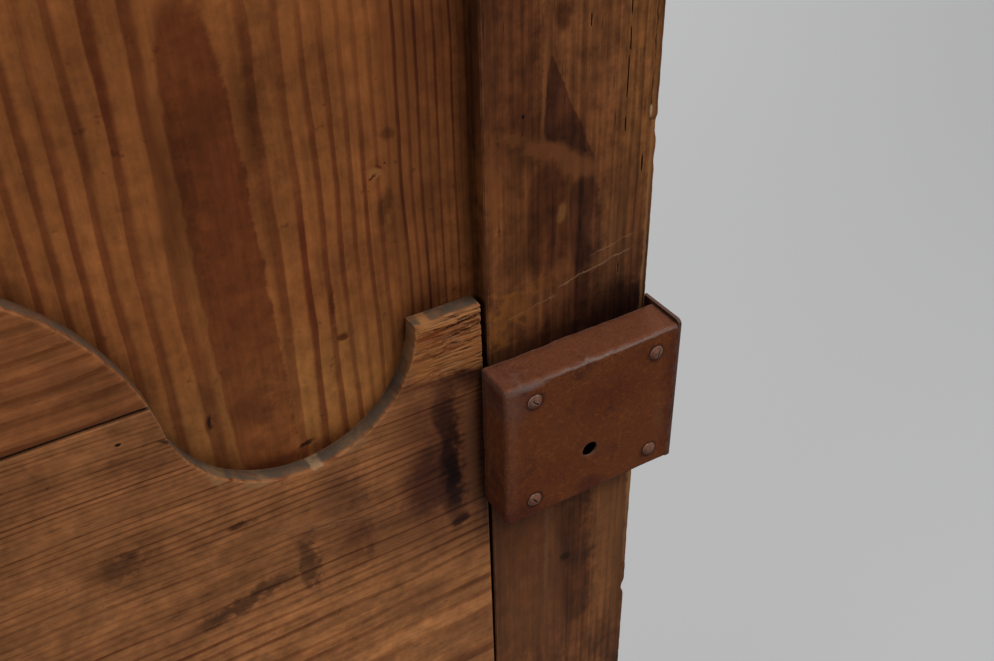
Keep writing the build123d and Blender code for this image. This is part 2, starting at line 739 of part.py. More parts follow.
# Back plate inside the case, against the stile
plate_inset = sheet + post_fit
with BuildPart() as lock_backplate:
    extrude(
        block(face_at(0), case_left + plate_inset, case_right, case_low + plate_inset,
              lock_top - plate_inset),
        amount=backplate_thickness)
    fillet(lock_backplate.edges().filter_by(Axis.Y).group_by(Axis.X)[0], case_soft_corner - sheet)
    extrude(keyhole(face_at(0)), amount=backplate_thickness, mode=Mode.SUBTRACT)
    extrude(discs(face_at(0), screw_points, screw_shank_radius + peg_fit), amount=backplate_thickness,
            mode=Mode.SUBTRACT)
made.append((lock_backplate, "lock_backplate"))

# Four tubular posts keep the case's face off the back plate
with BuildPart() as lock_posts:
    extrude(discs(face_at(-backplate_thickness), screw_points, post_radius),
            amount=case_depth - sheet - backplate_thickness)
    extrude(discs(face_at(0), screw_points, screw_shank_radius + post_fit), amount=case_depth,
            mode=Mode.SUBTRACT)
made.append((lock_posts, "lock_posts"))

# Slotted screws through case, posts and back plate into the stile
screw_blank = domed_stud(screw_head_radius, screw_head_rise, screw_shank_radius, screw_length)
with BuildPart(face_at(-case_depth)) as lock_screws:
    with Locations(*screw_points):
        add(screw_blank)
    for point, angle in zip(screw_points, screw_slot_angles):
        with BuildSketch(face_at(-case_depth - screw_head_rise)):
            with Locations(point):
                Rectangle(2 * screw_head_radius + cut_over, screw_slot_width, rotation=angle)
        extrude(amount=-screw_slot_depth, mode=Mode.SUBTRACT)
made.append((lock_screws, "lock_screws"))

# Guide pin that the bolt slides on
guide_u = lock_u + guide_x
with BuildPart() as bolt_guide:
    extrude(discs(face_at(-backplate_thickness), [(guide_u, bolt_v)], guide_radius),
            amount=case_depth - sheet - backplate_thickness)
made.append((bolt_guide, "bolt_guide"))

# Bolt, drawn back flush with the forend
bar_right = bolt_end - bolt_head_length
bar_left = bar_right - bolt_bar_length
bar_low = bolt_v - bolt_bar_height / 2
with BuildPart() as lock_bolt:
    extrude(
        block(face_at(-bolt_from_face), bar_right, bolt_end, bolt_v - bolt_head_height / 2,
              bolt_v + bolt_head_height / 2),
        amount=bolt_thickness)
    extrude(
        block(face_at(-bolt_from_face), bar_left, bar_right, bar_low, bar_low + bolt_bar_height),
        amount=bolt_thickness)
    # slot for the guide pin, as long as the throw
    with BuildSketch(face_at(-bolt_from_face)):
        with Locations((guide_u - bolt_throw / 2, bolt_v)):
            SlotCenterToCenter(bolt_throw, 2 * (guide_radius + bolt_play))
    extrude(amount=bolt_thickness, mode=Mode.SUBTRACT)
    # two talons on the lower edge for the key
    for step in (0, 1):
        left = key_u - talon_width / 2 - step * talon_spacing
        extrude(
            block(face_at(-bolt_from_face), left, left + talon_width, bar_low, bar_low + talon_depth),
            amount=bolt_thickness, mode=Mode.SUBTRACT)
made.append((lock_bolt, "lock_bolt"))

# Flat spring on the bolt's back, bowed up towards the top of the case
spring_foot = bar_low + bolt_bar_height
spring_left = bar_left + spring_thickness
spring_rise = lock_top - sheet - spring_clear - spring_thickness - spring_foot
with BuildPart() as bolt_spring:
    with BuildSketch(face_at(-bolt_from_face - (bolt_thickness - spring_width) / 2)):
        with BuildLine():
            low_edge = ThreePointArc(
                (spring_left, spring_foot),
                (spring_left + spring_bow_along, spring_foot + spring_bow_rise),
                (spring_left + spring_length, spring_foot + spring_rise),
            )
            high_edge = ThreePointArc(
                (spring_left, spring_foot + spring_thickness),
                (spring_left + spring_bow_along, spring_foot + spring_bow_rise + spring_thickness),
                (spring_left + spring_length, spring_foot + spring_rise + spring_thickness),
            )
            Line(low_edge @ 0, high_edge @ 0)
            Line(low_edge @ 1, high_edge @ 1)
        make_face()
    extrude(amount=spring_width)
made.append((bolt_spring, "bolt_spring"))

# Keeper: a bent strap on the lock jamb that the bolt shoots into
bridge_low = bolt_room_side + keeper_play
leg_outside = leg_half + keeper_strap
foot_end = leg_outside + keeper_foot
with BuildPart() as keeper:
    keeper_plane = Plane(origin=(frame_face_x, keeper_left, bolt_v), x_dir=(1, 0, 0), z_dir=(0, -1, 0))
    with BuildSketch(keeper_plane):
        with BuildLine():
            Polyline(
                (0, leg_half), (bridge_low, leg_half), (bridge_low, -leg_half), (0, -leg_half),
                (0, -foot_end), (keeper_strap, -foot_end), (keeper_strap, -leg_outside),
                (bridge_low + keeper_strap, -leg_outside), (bridge_low + keeper_strap, leg_outside),
                (keeper_strap, leg_outside), (keeper_strap, foot_end), (0, foot_end), close=True)
        make_face()
    extrude(amount=-keeper_width)
    bridge_edges = keeper.edges().filter_by(Axis.Y).group_by(Axis.X)[-1]
    fillet(bridge_edges, keeper_bend)
    extrude(discs(frame_at(frame_face_x), keeper_nail_points, nail_shank_radius + peg_fit),
            amount=keeper_strap, mode=Mode.SUBTRACT)
made.append((keeper, "keeper"))

with BuildPart(frame_at(frame_face_x + keeper_strap)) as keeper_nails:
    with Locations(*keeper_nail_points):
        add(nail_blank)
made.append((keeper_nails, "keeper_nails"))

os.makedirs("parts", exist_ok=True)
for piece, name in made:
    piece.part.label = name
    export_step(piece.part, f"parts/{name}.step")
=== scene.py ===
import sys
import json
import logging
import math
from dataclasses import dataclass
from enum import Enum
from typing import Callable, Iterable, Optional, Sequence, Union

import bmesh
import bpy
from mathutils import Matrix, Vector, noise

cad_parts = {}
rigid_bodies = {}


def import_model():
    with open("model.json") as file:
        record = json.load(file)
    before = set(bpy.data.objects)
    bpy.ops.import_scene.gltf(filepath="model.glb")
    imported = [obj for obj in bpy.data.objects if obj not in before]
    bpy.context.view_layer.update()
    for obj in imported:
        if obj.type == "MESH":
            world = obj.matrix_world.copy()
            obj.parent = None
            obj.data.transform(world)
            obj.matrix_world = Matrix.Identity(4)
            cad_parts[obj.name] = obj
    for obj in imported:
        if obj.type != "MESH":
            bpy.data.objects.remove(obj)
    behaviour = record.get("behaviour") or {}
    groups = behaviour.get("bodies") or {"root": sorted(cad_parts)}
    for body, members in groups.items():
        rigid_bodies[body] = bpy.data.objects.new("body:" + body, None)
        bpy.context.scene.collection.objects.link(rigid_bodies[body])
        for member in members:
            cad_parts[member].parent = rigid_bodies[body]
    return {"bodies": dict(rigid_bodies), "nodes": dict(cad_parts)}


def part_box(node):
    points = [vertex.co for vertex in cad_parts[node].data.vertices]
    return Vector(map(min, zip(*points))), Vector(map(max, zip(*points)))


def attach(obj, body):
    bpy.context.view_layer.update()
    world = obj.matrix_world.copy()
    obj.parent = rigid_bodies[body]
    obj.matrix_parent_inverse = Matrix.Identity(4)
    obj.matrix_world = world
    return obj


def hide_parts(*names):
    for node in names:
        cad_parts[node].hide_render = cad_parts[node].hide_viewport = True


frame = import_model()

LOG = logging.getLogger("arched_door")
MM = 0.001
CASE_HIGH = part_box("lock_case")[1]
STILE_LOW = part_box("lock_stile")[0]
# Corner that the close-up pieces are measured from: the stile's inner edge, its lock face, the case's top
DATUM = Vector((STILE_LOW.x, STILE_LOW.y, CASE_HIGH.z))

Colour = tuple[float, float, float]
Feed = Union[bpy.types.NodeSocket, float, Sequence[float], None]


def place(x: float, z: float, y: float = 0.0) -> Vector:
    """Point given in millimetres from the datum.

    Args:
        x: Across the leaf, towards the lock edge.
        z: Up.
        y: Into the wood.

    Returns:
        The point in metres.
    """
    return DATUM + Vector((x, y, z)) * MM


def from_datum(point: Vector) -> Vector:
    """Millimetres from the datum for a point in metres."""
    return (point - DATUM) / MM


def middle(face: bmesh.types.BMFace) -> Vector:
    """Middle of a face, in millimetres from the datum."""
    return from_datum(face.calc_center_median())


def opaque(colour: Colour) -> tuple[float, float, float, float]:
    """Colour with a full alpha."""
    return (*colour, 1.0)


def waver(x: float, z: float, size: float, seed: float = 0.0) -> float:
    """Smooth noise from -1 to 1, with features about size millimetres wide."""
    return noise.noise(Vector((x / size, seed * 7.31, z / size)))


def ease(value: float, low: float, high: float) -> float:
    """Smooth step of value between two limits, which may fall."""
    share = min(1.0, max(0.0, (value - low) / (high - low)))
    return share * share * (3.0 - 2.0 * share)


class Axis(Enum):
    """World axis that a cut is square to."""

    X = 0
    Y = 1
    Z = 2

    def normal(self) -> Vector:
        """Unit vector along the axis."""
        return Vector([1.0 if step == self.value else 0.0 for step in range(3)])


class Mark(Enum):
    """How a blot changes the wood: a stain darkens its grain, a film covers it."""

    STAIN = "MULTIPLY"
    FILM = "MIX"


class Run(Enum):
    """Turn of a board's pattern, so that its grain lies along the member (degrees about X, Y and Z)."""

    LEAF_UPRIGHT = (0.0, 0.0, 0.0)
    LEAF_LEVEL = (0.0, 90.0, 0.0)
    LEAF_LOCK_HAUNCH = (0.0, -30.0, 0.0)
    LEAF_HINGE_HAUNCH = (0.0, 30.0, 0.0)
    FRAME_UPRIGHT = (0.0, 0.0, 90.0)
    FRAME_LEVEL = (0.0, 90.0, 90.0)
    FRAME_LOCK_HAUNCH = (0.0, -30.0, 90.0)
    FRAME_HINGE_HAUNCH = (0.0, 30.0, 90.0)

    def radians(self) -> tuple[float, float, float]:
        """The turn in radians."""
        return tuple(math.radians(angle) for angle in self.value)


class Graph:
    """Lays nodes in one tree and joins them."""

    def __init__(self, tree: bpy.types.NodeTree) -> None:
        """Keep the tree that the nodes go into."""
        self.tree = tree

    def feed(self, socket: bpy.types.NodeSocket, value: Feed) -> None:
        """Link an output into a socket, or set a plain value on it."""
        if isinstance(value, bpy.types.NodeSocket):
            self.tree.links.new(value, socket)
        elif value is not None:
            socket.default_value = value

    def node(self, kind: str, settings: Optional[dict] = None,
             inputs: Optional[dict] = None) -> bpy.types.Node:
        """Add a node.

        Args:
            kind: The node's type name without its ShaderNode prefix.
            settings: Properties of the node.
            inputs: Values or outputs for its sockets, by name or number.

        Returns:
            The node.
        """
        made = self.tree.nodes.new("ShaderNode" + kind)
        for name, value in (settings or {}).items():
            setattr(made, name, value)
        for name, value in (inputs or {}).items():
            self.feed(made.inputs[name], value)
        return made

    def math(self, operation: str, a: Feed, b: Feed = None, c: Feed = None, clamp: bool = False) -> Feed:
        """Result of a Math node."""
        return self.node("Math", {"operation": operation, "use_clamp": clamp}, {0: a, 1: b, 2: c}).outputs[0]

    def vector(self, operation: str, a: Feed, b: Feed = None, c: Feed = None) -> Feed:
        """Vector result of a Vector Math node."""
        return self.node("VectorMath", {"operation": operation}, {0: a, 1: b, 2: c}).outputs[0]

    def span(self, value: Feed, low: Feed, high: Feed, start: Feed = 0.0, end: Feed = 1.0,
             smooth: bool = True) -> Feed:
        """Map a value from one span to another, clamped."""
        return self.node(
            "MapRange", {"interpolation_type": "SMOOTHSTEP" if smooth else "LINEAR"},
            {"Value": value, "From Min": low, "From Max": high, "To Min": start, "To Max": end}).outputs[0]

    def mix(self, factor: Feed, a: Feed, b: Feed, blend: str = "MIX") -> Feed:
        """Mix two colours."""
        return self.node("Mix", {"data_type": "RGBA", "blend_type": blend},
                         {0: factor, 6: a, 7: b}).outputs[2]

    def tint(self, factor: Feed, colour: Feed, by: Colour) -> Feed:
        """Multiply a colour by another, by a share."""
        return self.mix(factor, colour, opaque(by), "MULTIPLY")

    def shade(self, colour: Feed, value: Feed) -> Feed:
        """Multiply a colour by a number."""
        grey = self.node("CombineColor", {}, {0: value, 1: value, 2: value}).outputs[0]
        return self.mix(1.0, colour, grey, "MULTIPLY")

    def split(self, vector: Feed) -> bpy.types.NodeOutputs:
        """The three numbers of a vector."""
        return self.node("SeparateXYZ", {}, {0: vector}).outputs

    def along(self, vector: Feed, squeeze: float) -> Feed:
        """Vector squeezed along the grain, so that a noise on it is drawn out that way."""
        return self.vector("MULTIPLY", vector, (1.0, 1.0, squeeze))

    def hollows(self, reach: float) -> Feed:
        """Openness of a place, which falls in corners nearer than a reach in millimetres."""
        return self.node("AmbientOcclusion", {"samples": 2}, {"Distance": reach * MM}).outputs["AO"]

    def noise(self, vector: Feed, scale: Feed, detail: float = 2.0, rough: float = 0.5,
              colour: bool = False) -> Feed:
        """Noise texture, as a number or as a colour of three numbers.

        Args:
            vector: Where the noise is read.
            scale: Size of the noise, larger for finer.
            detail: Number of finer layers.
            rough: Share of strength that each finer layer keeps.
            colour: True for three numbers in place of one.

        Returns:
            The noise, from 0 to 1.
        """
        values = {"Vector": vector, "Scale": scale, "Detail": detail, "Roughness": rough}
        made = self.node("TexNoise", {}, values)
        return made.outputs["Color" if colour else "Fac"]

    def push(self, vector: Feed, scale: float, detail: float, rough: float) -> Feed:
        """Noise from -0.5 to 0.5 in three directions."""
        return self.vector("SUBTRACT", self.noise(vector, scale, detail, rough, colour=True), (0.5, 0.5, 0.5))

    def end(self, kind: str, shader: bpy.types.Node) -> None:
        """Lead a shader to the tree's output."""
        self.feed(self.node("Output" + kind).inputs["Surface"], shader.outputs[0])


def new_material(name: str) -> tuple[bpy.types.Material, Graph]:
    """An empty material and its graph.

    Args:
        name: The material's name.

    Returns:
        The material, and the graph that lays its nodes.
    """
    material = bpy.data.materials.new(name)
    material.use_nodes = True
    material.node_tree.nodes.clear()
    return material, Graph(material.node_tree)


def link(name: str, data: bpy.types.ID) -> bpy.types.Object:
    """Put a mesh, lamp or camera into the scene as an object.

    Args:
        name: The object's name.
        data: What the object shows or does.

    Returns:
        The object.
    """
    thing = bpy.data.objects.new(name, data)
    bpy.context.scene.collection.objects.link(thing)
    return thing


class Effect:
    """A shader node group with named inputs and outputs, built once and placed in each material."""

    title = ""
    takes: tuple[tuple[str, str, object], ...] = ()
    gives: tuple[tuple[str, str], ...] = ()

    def __init__(self) -> None:
        """Build the group's tree."""
        tree = bpy.data.node_groups.new(self.title, "ShaderNodeTree")
        for name, kind, default in self.takes:
            socket = tree.interface.new_socket(name=name, in_out="INPUT", socket_type="NodeSocket" + kind)
            if default is not None:
                socket.default_value = default
        for name, kind in self.gives:
            tree.interface.new_socket(name=name, in_out="OUTPUT", socket_type="NodeSocket" + kind)
        self.tree = tree
        graph = Graph(tree)
        entry, leave = tree.nodes.new("NodeGroupInput"), tree.nodes.new("NodeGroupOutput")
        for name, value in self.lay(graph, entry.outputs).items():
            graph.feed(leave.inputs[name], value)

    def lay(self, graph: Graph, given: bpy.types.NodeOutputs) -> dict[str, Feed]:
        """Lay the group's nodes and return what goes to each output."""
        raise NotImplementedError

    def put(self, graph: Graph, values: dict[str, Feed]) -> bpy.types.NodeOutputs:
        """Place the group in a material.

        Args:
            graph: The material's graph.
            values: Values or outputs for the group's inputs.

        Returns:
            The outputs of the placed group.
        """
        made = graph.tree.nodes.new("ShaderNodeGroup")
        made.node_tree = self.tree
        for name, value in values.items():
            graph.feed(made.inputs[name], value)
        return made.outputs


class PineGrain(Effect):
    """Growth rings of a sawn pine board round a pith that lies beside or behind it, with its fibres."""

    title = "Pine grain"
    takes = (
        ("Vector", "Vector", None), ("Pith Across", "Float", 0.0), ("Pith Depth", "Float", 0.05),
        ("Ring Spacing", "Float", 0.006), ("Ring Crowding", "Float", 0.0), ("Wander", "Float", 0.01),
        ("Sway", "Float", 0.002), ("Ripple", "Float", 0.0015), ("Late Width", "Float", 0.45),
    )
    gives = (("Late", "Float"), ("Tone", "Float"), ("Fibre", "Float"), ("Height", "Float"),
             ("Pores", "Float"))

    # how the rings bend: squeeze along the grain, scale, detail and roughness of each noise, and its reach
    bends = ((0.45, 26.0, 1.0, 0.5, "Sway"), (0.22, 130.0, 2.0, 0.65, "Ripple"))
    # shares of a year: where late wood ends and starts to fade, and how much of its width it takes to darken
    late_end, late_fade, darkening = 0.93, 0.91, 0.55

    def lay(self, graph: Graph, given: bpy.types.NodeOutputs) -> dict[str, Feed]:
        """Rings from the distance to the pith, darkest at the end of each year.

        Args:
            graph: The group's own graph.
            given: The group's inputs.

        Returns:
            The group's outputs by name.
        """
        spot = given["Vector"]
        drift = graph.node("VectorMath", {"operation": "SCALE"}, {
            0: graph.push(graph.along(spot, 0.22), 7.0, 1.0, 0.45), "Scale": given["Wander"]}).outputs[0]
        parts = graph.split(graph.vector("ADD", spot, drift))
        across = graph.math("SUBTRACT", parts["X"], given["Pith Across"])
        depth = graph.math("SUBTRACT", parts["Y"], given["Pith Depth"])
        radius = graph.math("SQRT", graph.math("ADD", graph.math("MULTIPLY", across, across),
                                               graph.math("MULTIPLY", depth, depth)))
        for squeeze, scale, detail, rough, reach in self.bends:
            bend = graph.math("SUBTRACT", graph.noise(graph.along(spot, squeeze), scale, detail, rough), 0.5)
            radius = graph.math("MULTIPLY_ADD", bend, given[reach], radius)
        years = graph.math("DIVIDE", radius, given["Ring Spacing"])
        # the years lie closer on the side that the crowding's sign names
        outward = graph.math("MAXIMUM", graph.math("MULTIPLY", across, given["Ring Crowding"]), 0.0)
        years = graph.math("MULTIPLY", years, graph.math("MULTIPLY_ADD", outward, outward, 1.0))
        share = graph.math("FRACT", years)
        luck = graph.node("TexWhiteNoise", {"noise_dimensions": "1D"},
                          {"W": graph.math("FLOOR", years)}).outputs["Value"]
        start = graph.math("SUBTRACT", self.late_end, given["Late Width"])
        full = graph.math("MULTIPLY_ADD", given["Late Width"], self.darkening, start)
        rise = graph.span(share, start, full)
        fall = graph.span(share, self.late_fade, 1.0, 1.0, 0.0)
        late = graph.math("MULTIPLY", graph.math("MULTIPLY", rise, fall),
                          graph.span(luck, 0.0, 1.0, 0.35, 1.0))
        patchy = graph.noise(graph.along(spot, 0.25), 40.0, 1.0, 0.5)
        late = graph.math("MULTIPLY", late, graph.span(patchy, 0.32, 0.6, 0.5, 1.0))
        fibre = graph.noise(graph.along(spot, 0.018), 360.0, 2.0, 0.65)
        pores = graph.span(graph.noise(graph.along(spot, 0.1), 700.0, 1.0, 0.5), 0.64, 0.76)
        tone = graph.noise(graph.along(spot, 0.3), 48.0, 3.0, 0.7)
        height = graph.math("MULTIPLY_ADD", late, 0.3, graph.math("MULTIPLY", fibre, 0.7))
        return {"Late": late, "Tone": tone, "Fibre": fibre, "Height": height, "Pores": pores}


class SoftBlot(Effect):
    """A mark with a soft edge: an ellipse or box that may lean, turn and narrow towards its top."""

    title = "Soft blot"
    takes = (
        ("Vector", "Vector", None), ("Centre", "Vector", (0.0, 0.0, 0.0)), ("Half Width", "Float", 0.01),
        ("Half Height", "Float", 0.01), ("Turn", "Float", 0.0), ("Taper", "Float", 0.0),
        ("Lean", "Float", 0.0), ("Corner", "Float", 2.0), ("Softness", "Float", 0.3),
        ("Strength", "Float", 1.0),
    )
    gives = (("Mask", "Float"),)

    narrowest = 0.02

    def lay(self, graph: Graph, given: bpy.types.NodeOutputs) -> dict[str, Feed]:
        """Distance in the mark's own outline, faded over its softness.

        Args:
            graph: The group's own graph.
            given: The group's inputs.

        Returns:
            The group's outputs by name.
        """
        apart = graph.vector("SUBTRACT", given["Vector"], given["Centre"])
        turned = graph.node("VectorRotate", {"rotation_type": "Y_AXIS"}, {
            "Vector": apart, "Angle": given["Turn"]})
        parts = graph.split(turned.outputs[0])
        up = graph.math("DIVIDE", parts["Z"], given["Half Height"])
        clipped = graph.span(up, -1.0, 1.0, -1.0, 1.0, smooth=False)
        narrow = graph.math("SUBTRACT", 1.0, graph.math("MULTIPLY", clipped, given["Taper"]))
        lean = graph.math("MULTIPLY", parts["Z"], given["Lean"])
        side = graph.math("DIVIDE", graph.math("SUBTRACT", parts["X"], lean), given["Half Width"])
        side = graph.math("DIVIDE", side, graph.math("MAXIMUM", narrow, self.narrowest))
        far = graph.math("ADD", graph.math("POWER", graph.math("ABSOLUTE", side), given["Corner"]),
                         graph.math("POWER", graph.math("ABSOLUTE", up), given["Corner"]))
        reach = graph.math("POWER", far, graph.math("DIVIDE", 1.0, given["Corner"]))
        low = graph.math("SUBTRACT", 1.0, given["Softness"])
        high = graph.math("ADD", 1.0, given["Softness"])
        return {"Mask": graph.span(reach, low, high, given["Strength"], 0.0)}


class EdgeWear(Effect):
    """Rubbed arrises: where a rounded copy of the surface would turn away from the real one."""

    title = "Edge wear"
    takes = (("Vector", "Vector", None), ("Radius", "Float", 0.002), ("Patchiness", "Float", 0.5),
             ("Patch Scale", "Float", 120.0))
    gives = (("Mask", "Float"),)

    # likeness of the two normals where wear begins and where it is full
    untouched, rubbed = 0.995, 0.9

    def lay(self, graph: Graph, given: bpy.types.NodeOutputs) -> dict[str, Feed]:
        """Angle between the rounded and the real normal, broken up by noise.

        Args:
            graph: The group's own graph.
            given: The group's inputs.

        Returns:
            The group's outputs by name.
        """
        rounded = graph.node("Bevel", {"samples": 2}, {"Radius": given["Radius"]}).outputs[0]
        real = graph.node("NewGeometry").outputs["Normal"]
        likeness = graph.node("VectorMath", {"operation": "DOT_PRODUCT"}, {
            0: rounded, 1: real}).outputs["Value"]
        edge = graph.span(likeness, self.untouched, self.rubbed)
        patches = graph.span(graph.noise(given["Vector"], given["Patch Scale"], 2.0, 0.6), 0.38, 0.62)
        kept = graph.math("SUBTRACT", 1.0, given["Patchiness"])
        share = graph.math("MULTIPLY_ADD", patches, given["Patchiness"], kept)
        return {"Mask": graph.math("MULTIPLY", edge, share)}


class SettledDust(Effect):
    """Dust on surfaces that face up."""

    title = "Settled dust"
    takes = (("Vector", "Vector", None), ("Lowest Slope", "Float", 0.25), ("Patch Scale", "Float", 90.0))
    gives = (("Mask", "Float"),)

    full_after = 0.35

    def lay(self, graph: Graph, given: bpy.types.NodeOutputs) -> dict[str, Feed]:
        """Upward part of the normal, thinned by noise.

        Args:
            graph: The group's own graph.
            given: The group's inputs.

        Returns:
            The group's outputs by name.
        """
        up = graph.split(graph.node("NewGeometry").outputs["Normal"])["Z"]
        slope = given["Lowest Slope"]
        facing = graph.span(up, slope, graph.math("ADD", slope, self.full_after))
        patches = graph.span(graph.noise(given["Vector"], given["Patch Scale"], 2.0, 0.6), 0.3, 0.6, 0.6, 1.0)
        return {"Mask": graph.math("MULTIPLY", facing, patches)}


class RustCoat(Effect):
    """Brown rust: slow patches from deep to bright, fine specks, and a pitted surface."""

    title = "Rust coat"
    takes = (("Vector", "Vector", None), ("Deep", "Color", (0.04, 0.015, 0.01, 1.0)),
             ("Middle", "Color", (0.1, 0.04, 0.02, 1.0)), ("Bright", "Color", (0.18, 0.07, 0.03, 1.0)),
             ("Patch Scale", "Float", 45.0))
    gives = (("Color", "Color"), ("Roughness", "Float"), ("Height", "Float"))

    def lay(self, graph: Graph, given: bpy.types.NodeOutputs) -> dict[str, Feed]:
        """Three colours mixed by noise of three sizes.

        Args:
            graph: The group's own graph.
            given: The group's inputs.

        Returns:
            The group's outputs by name.
        """
        patches = graph.noise(given["Vector"], given["Patch Scale"], 4.0, 0.62)
        colour = graph.mix(graph.span(patches, 0.3, 0.46), given["Deep"], given["Middle"])
        grains = graph.noise(given["Vector"], 380.0, 4.0, 0.75)
        colour = graph.mix(graph.span(grains, 0.46, 0.72, 0.0, 0.7), colour, given["Bright"])
        specks = graph.span(graph.noise(given["Vector"], 950.0, 2.0, 0.6), 0.56, 0.72)
        colour = graph.mix(graph.math("MULTIPLY", specks, 0.65), colour, given["Deep"])
        rough = graph.span(grains, 0.3, 0.7, 0.62, 0.88)
        height = graph.math("MULTIPLY_ADD", grains, 0.7, graph.math("MULTIPLY", specks, -0.5))
        return {"Color": colour, "Roughness": rough, "Height": height}


@dataclass(frozen=True)
class Effects:
    """The shared node groups."""

    grain: PineGrain
    blot: SoftBlot
    wear: EdgeWear
    dust: SettledDust
    rust: RustCoat

    @classmethod
    def build(cls) -> "Effects":
        """Build each group once."""
        return cls(PineGrain(), SoftBlot(), EdgeWear(), SettledDust(), RustCoat())


@dataclass(frozen=True)
class Blot:
    """One mark, in millimetres from the datum; turn is anticlockwise in degrees."""

    x: float
    z: float
    half_x: float
    half_z: float
    tint: Colour
    strength: float = 1.0
    soft: float = 0.4
    turn: float = 0.0
    taper: float = 0.0
    lean: float = 0.0
    corner: float = 2.0
    ragged: float = 3.0
    mark: Mark = Mark.STAIN

    def lay(self, graph: Graph, effects: Effects, spot: Feed, tremor: Feed, colour: Feed,
            where: Feed = 1.0) -> Feed:
        """Lay the mark over a colour.

        Args:
            graph: The material's graph.
            effects: The shared groups.
            spot: Object coordinates.
            tremor: Noise in three directions, which frays the outline.
            colour: The colour so far.
            where: Share of the mark that shows at each place.

        Returns:
            The colour with the mark.
        """
        frayed = graph.vector("MULTIPLY_ADD", tremor, (self.ragged * MM,) * 3, spot)
        mask = effects.blot.put(graph, {
            "Vector": frayed, "Centre": tuple(place(self.x, self.z)), "Half Width": self.half_x * MM,
            "Half Height": self.half_z * MM, "Turn": math.radians(self.turn), "Taper": self.taper,
            "Lean": self.lean, "Corner": self.corner, "Softness": self.soft,
            "Strength": graph.math("MULTIPLY", where, self.strength)})["Mask"]
        return graph.mix(mask, colour, opaque(self.tint), self.mark.value)


def film(x: float, z: float, half_x: float, half_z: float, tint: Colour, strength: float = 1.0,
         soft: float = 0.4, **rest: float) -> Blot:
    """A blot that covers the grain."""
    return Blot(x, z, half_x, half_z, tint, strength, soft, mark=Mark.FILM, **rest)


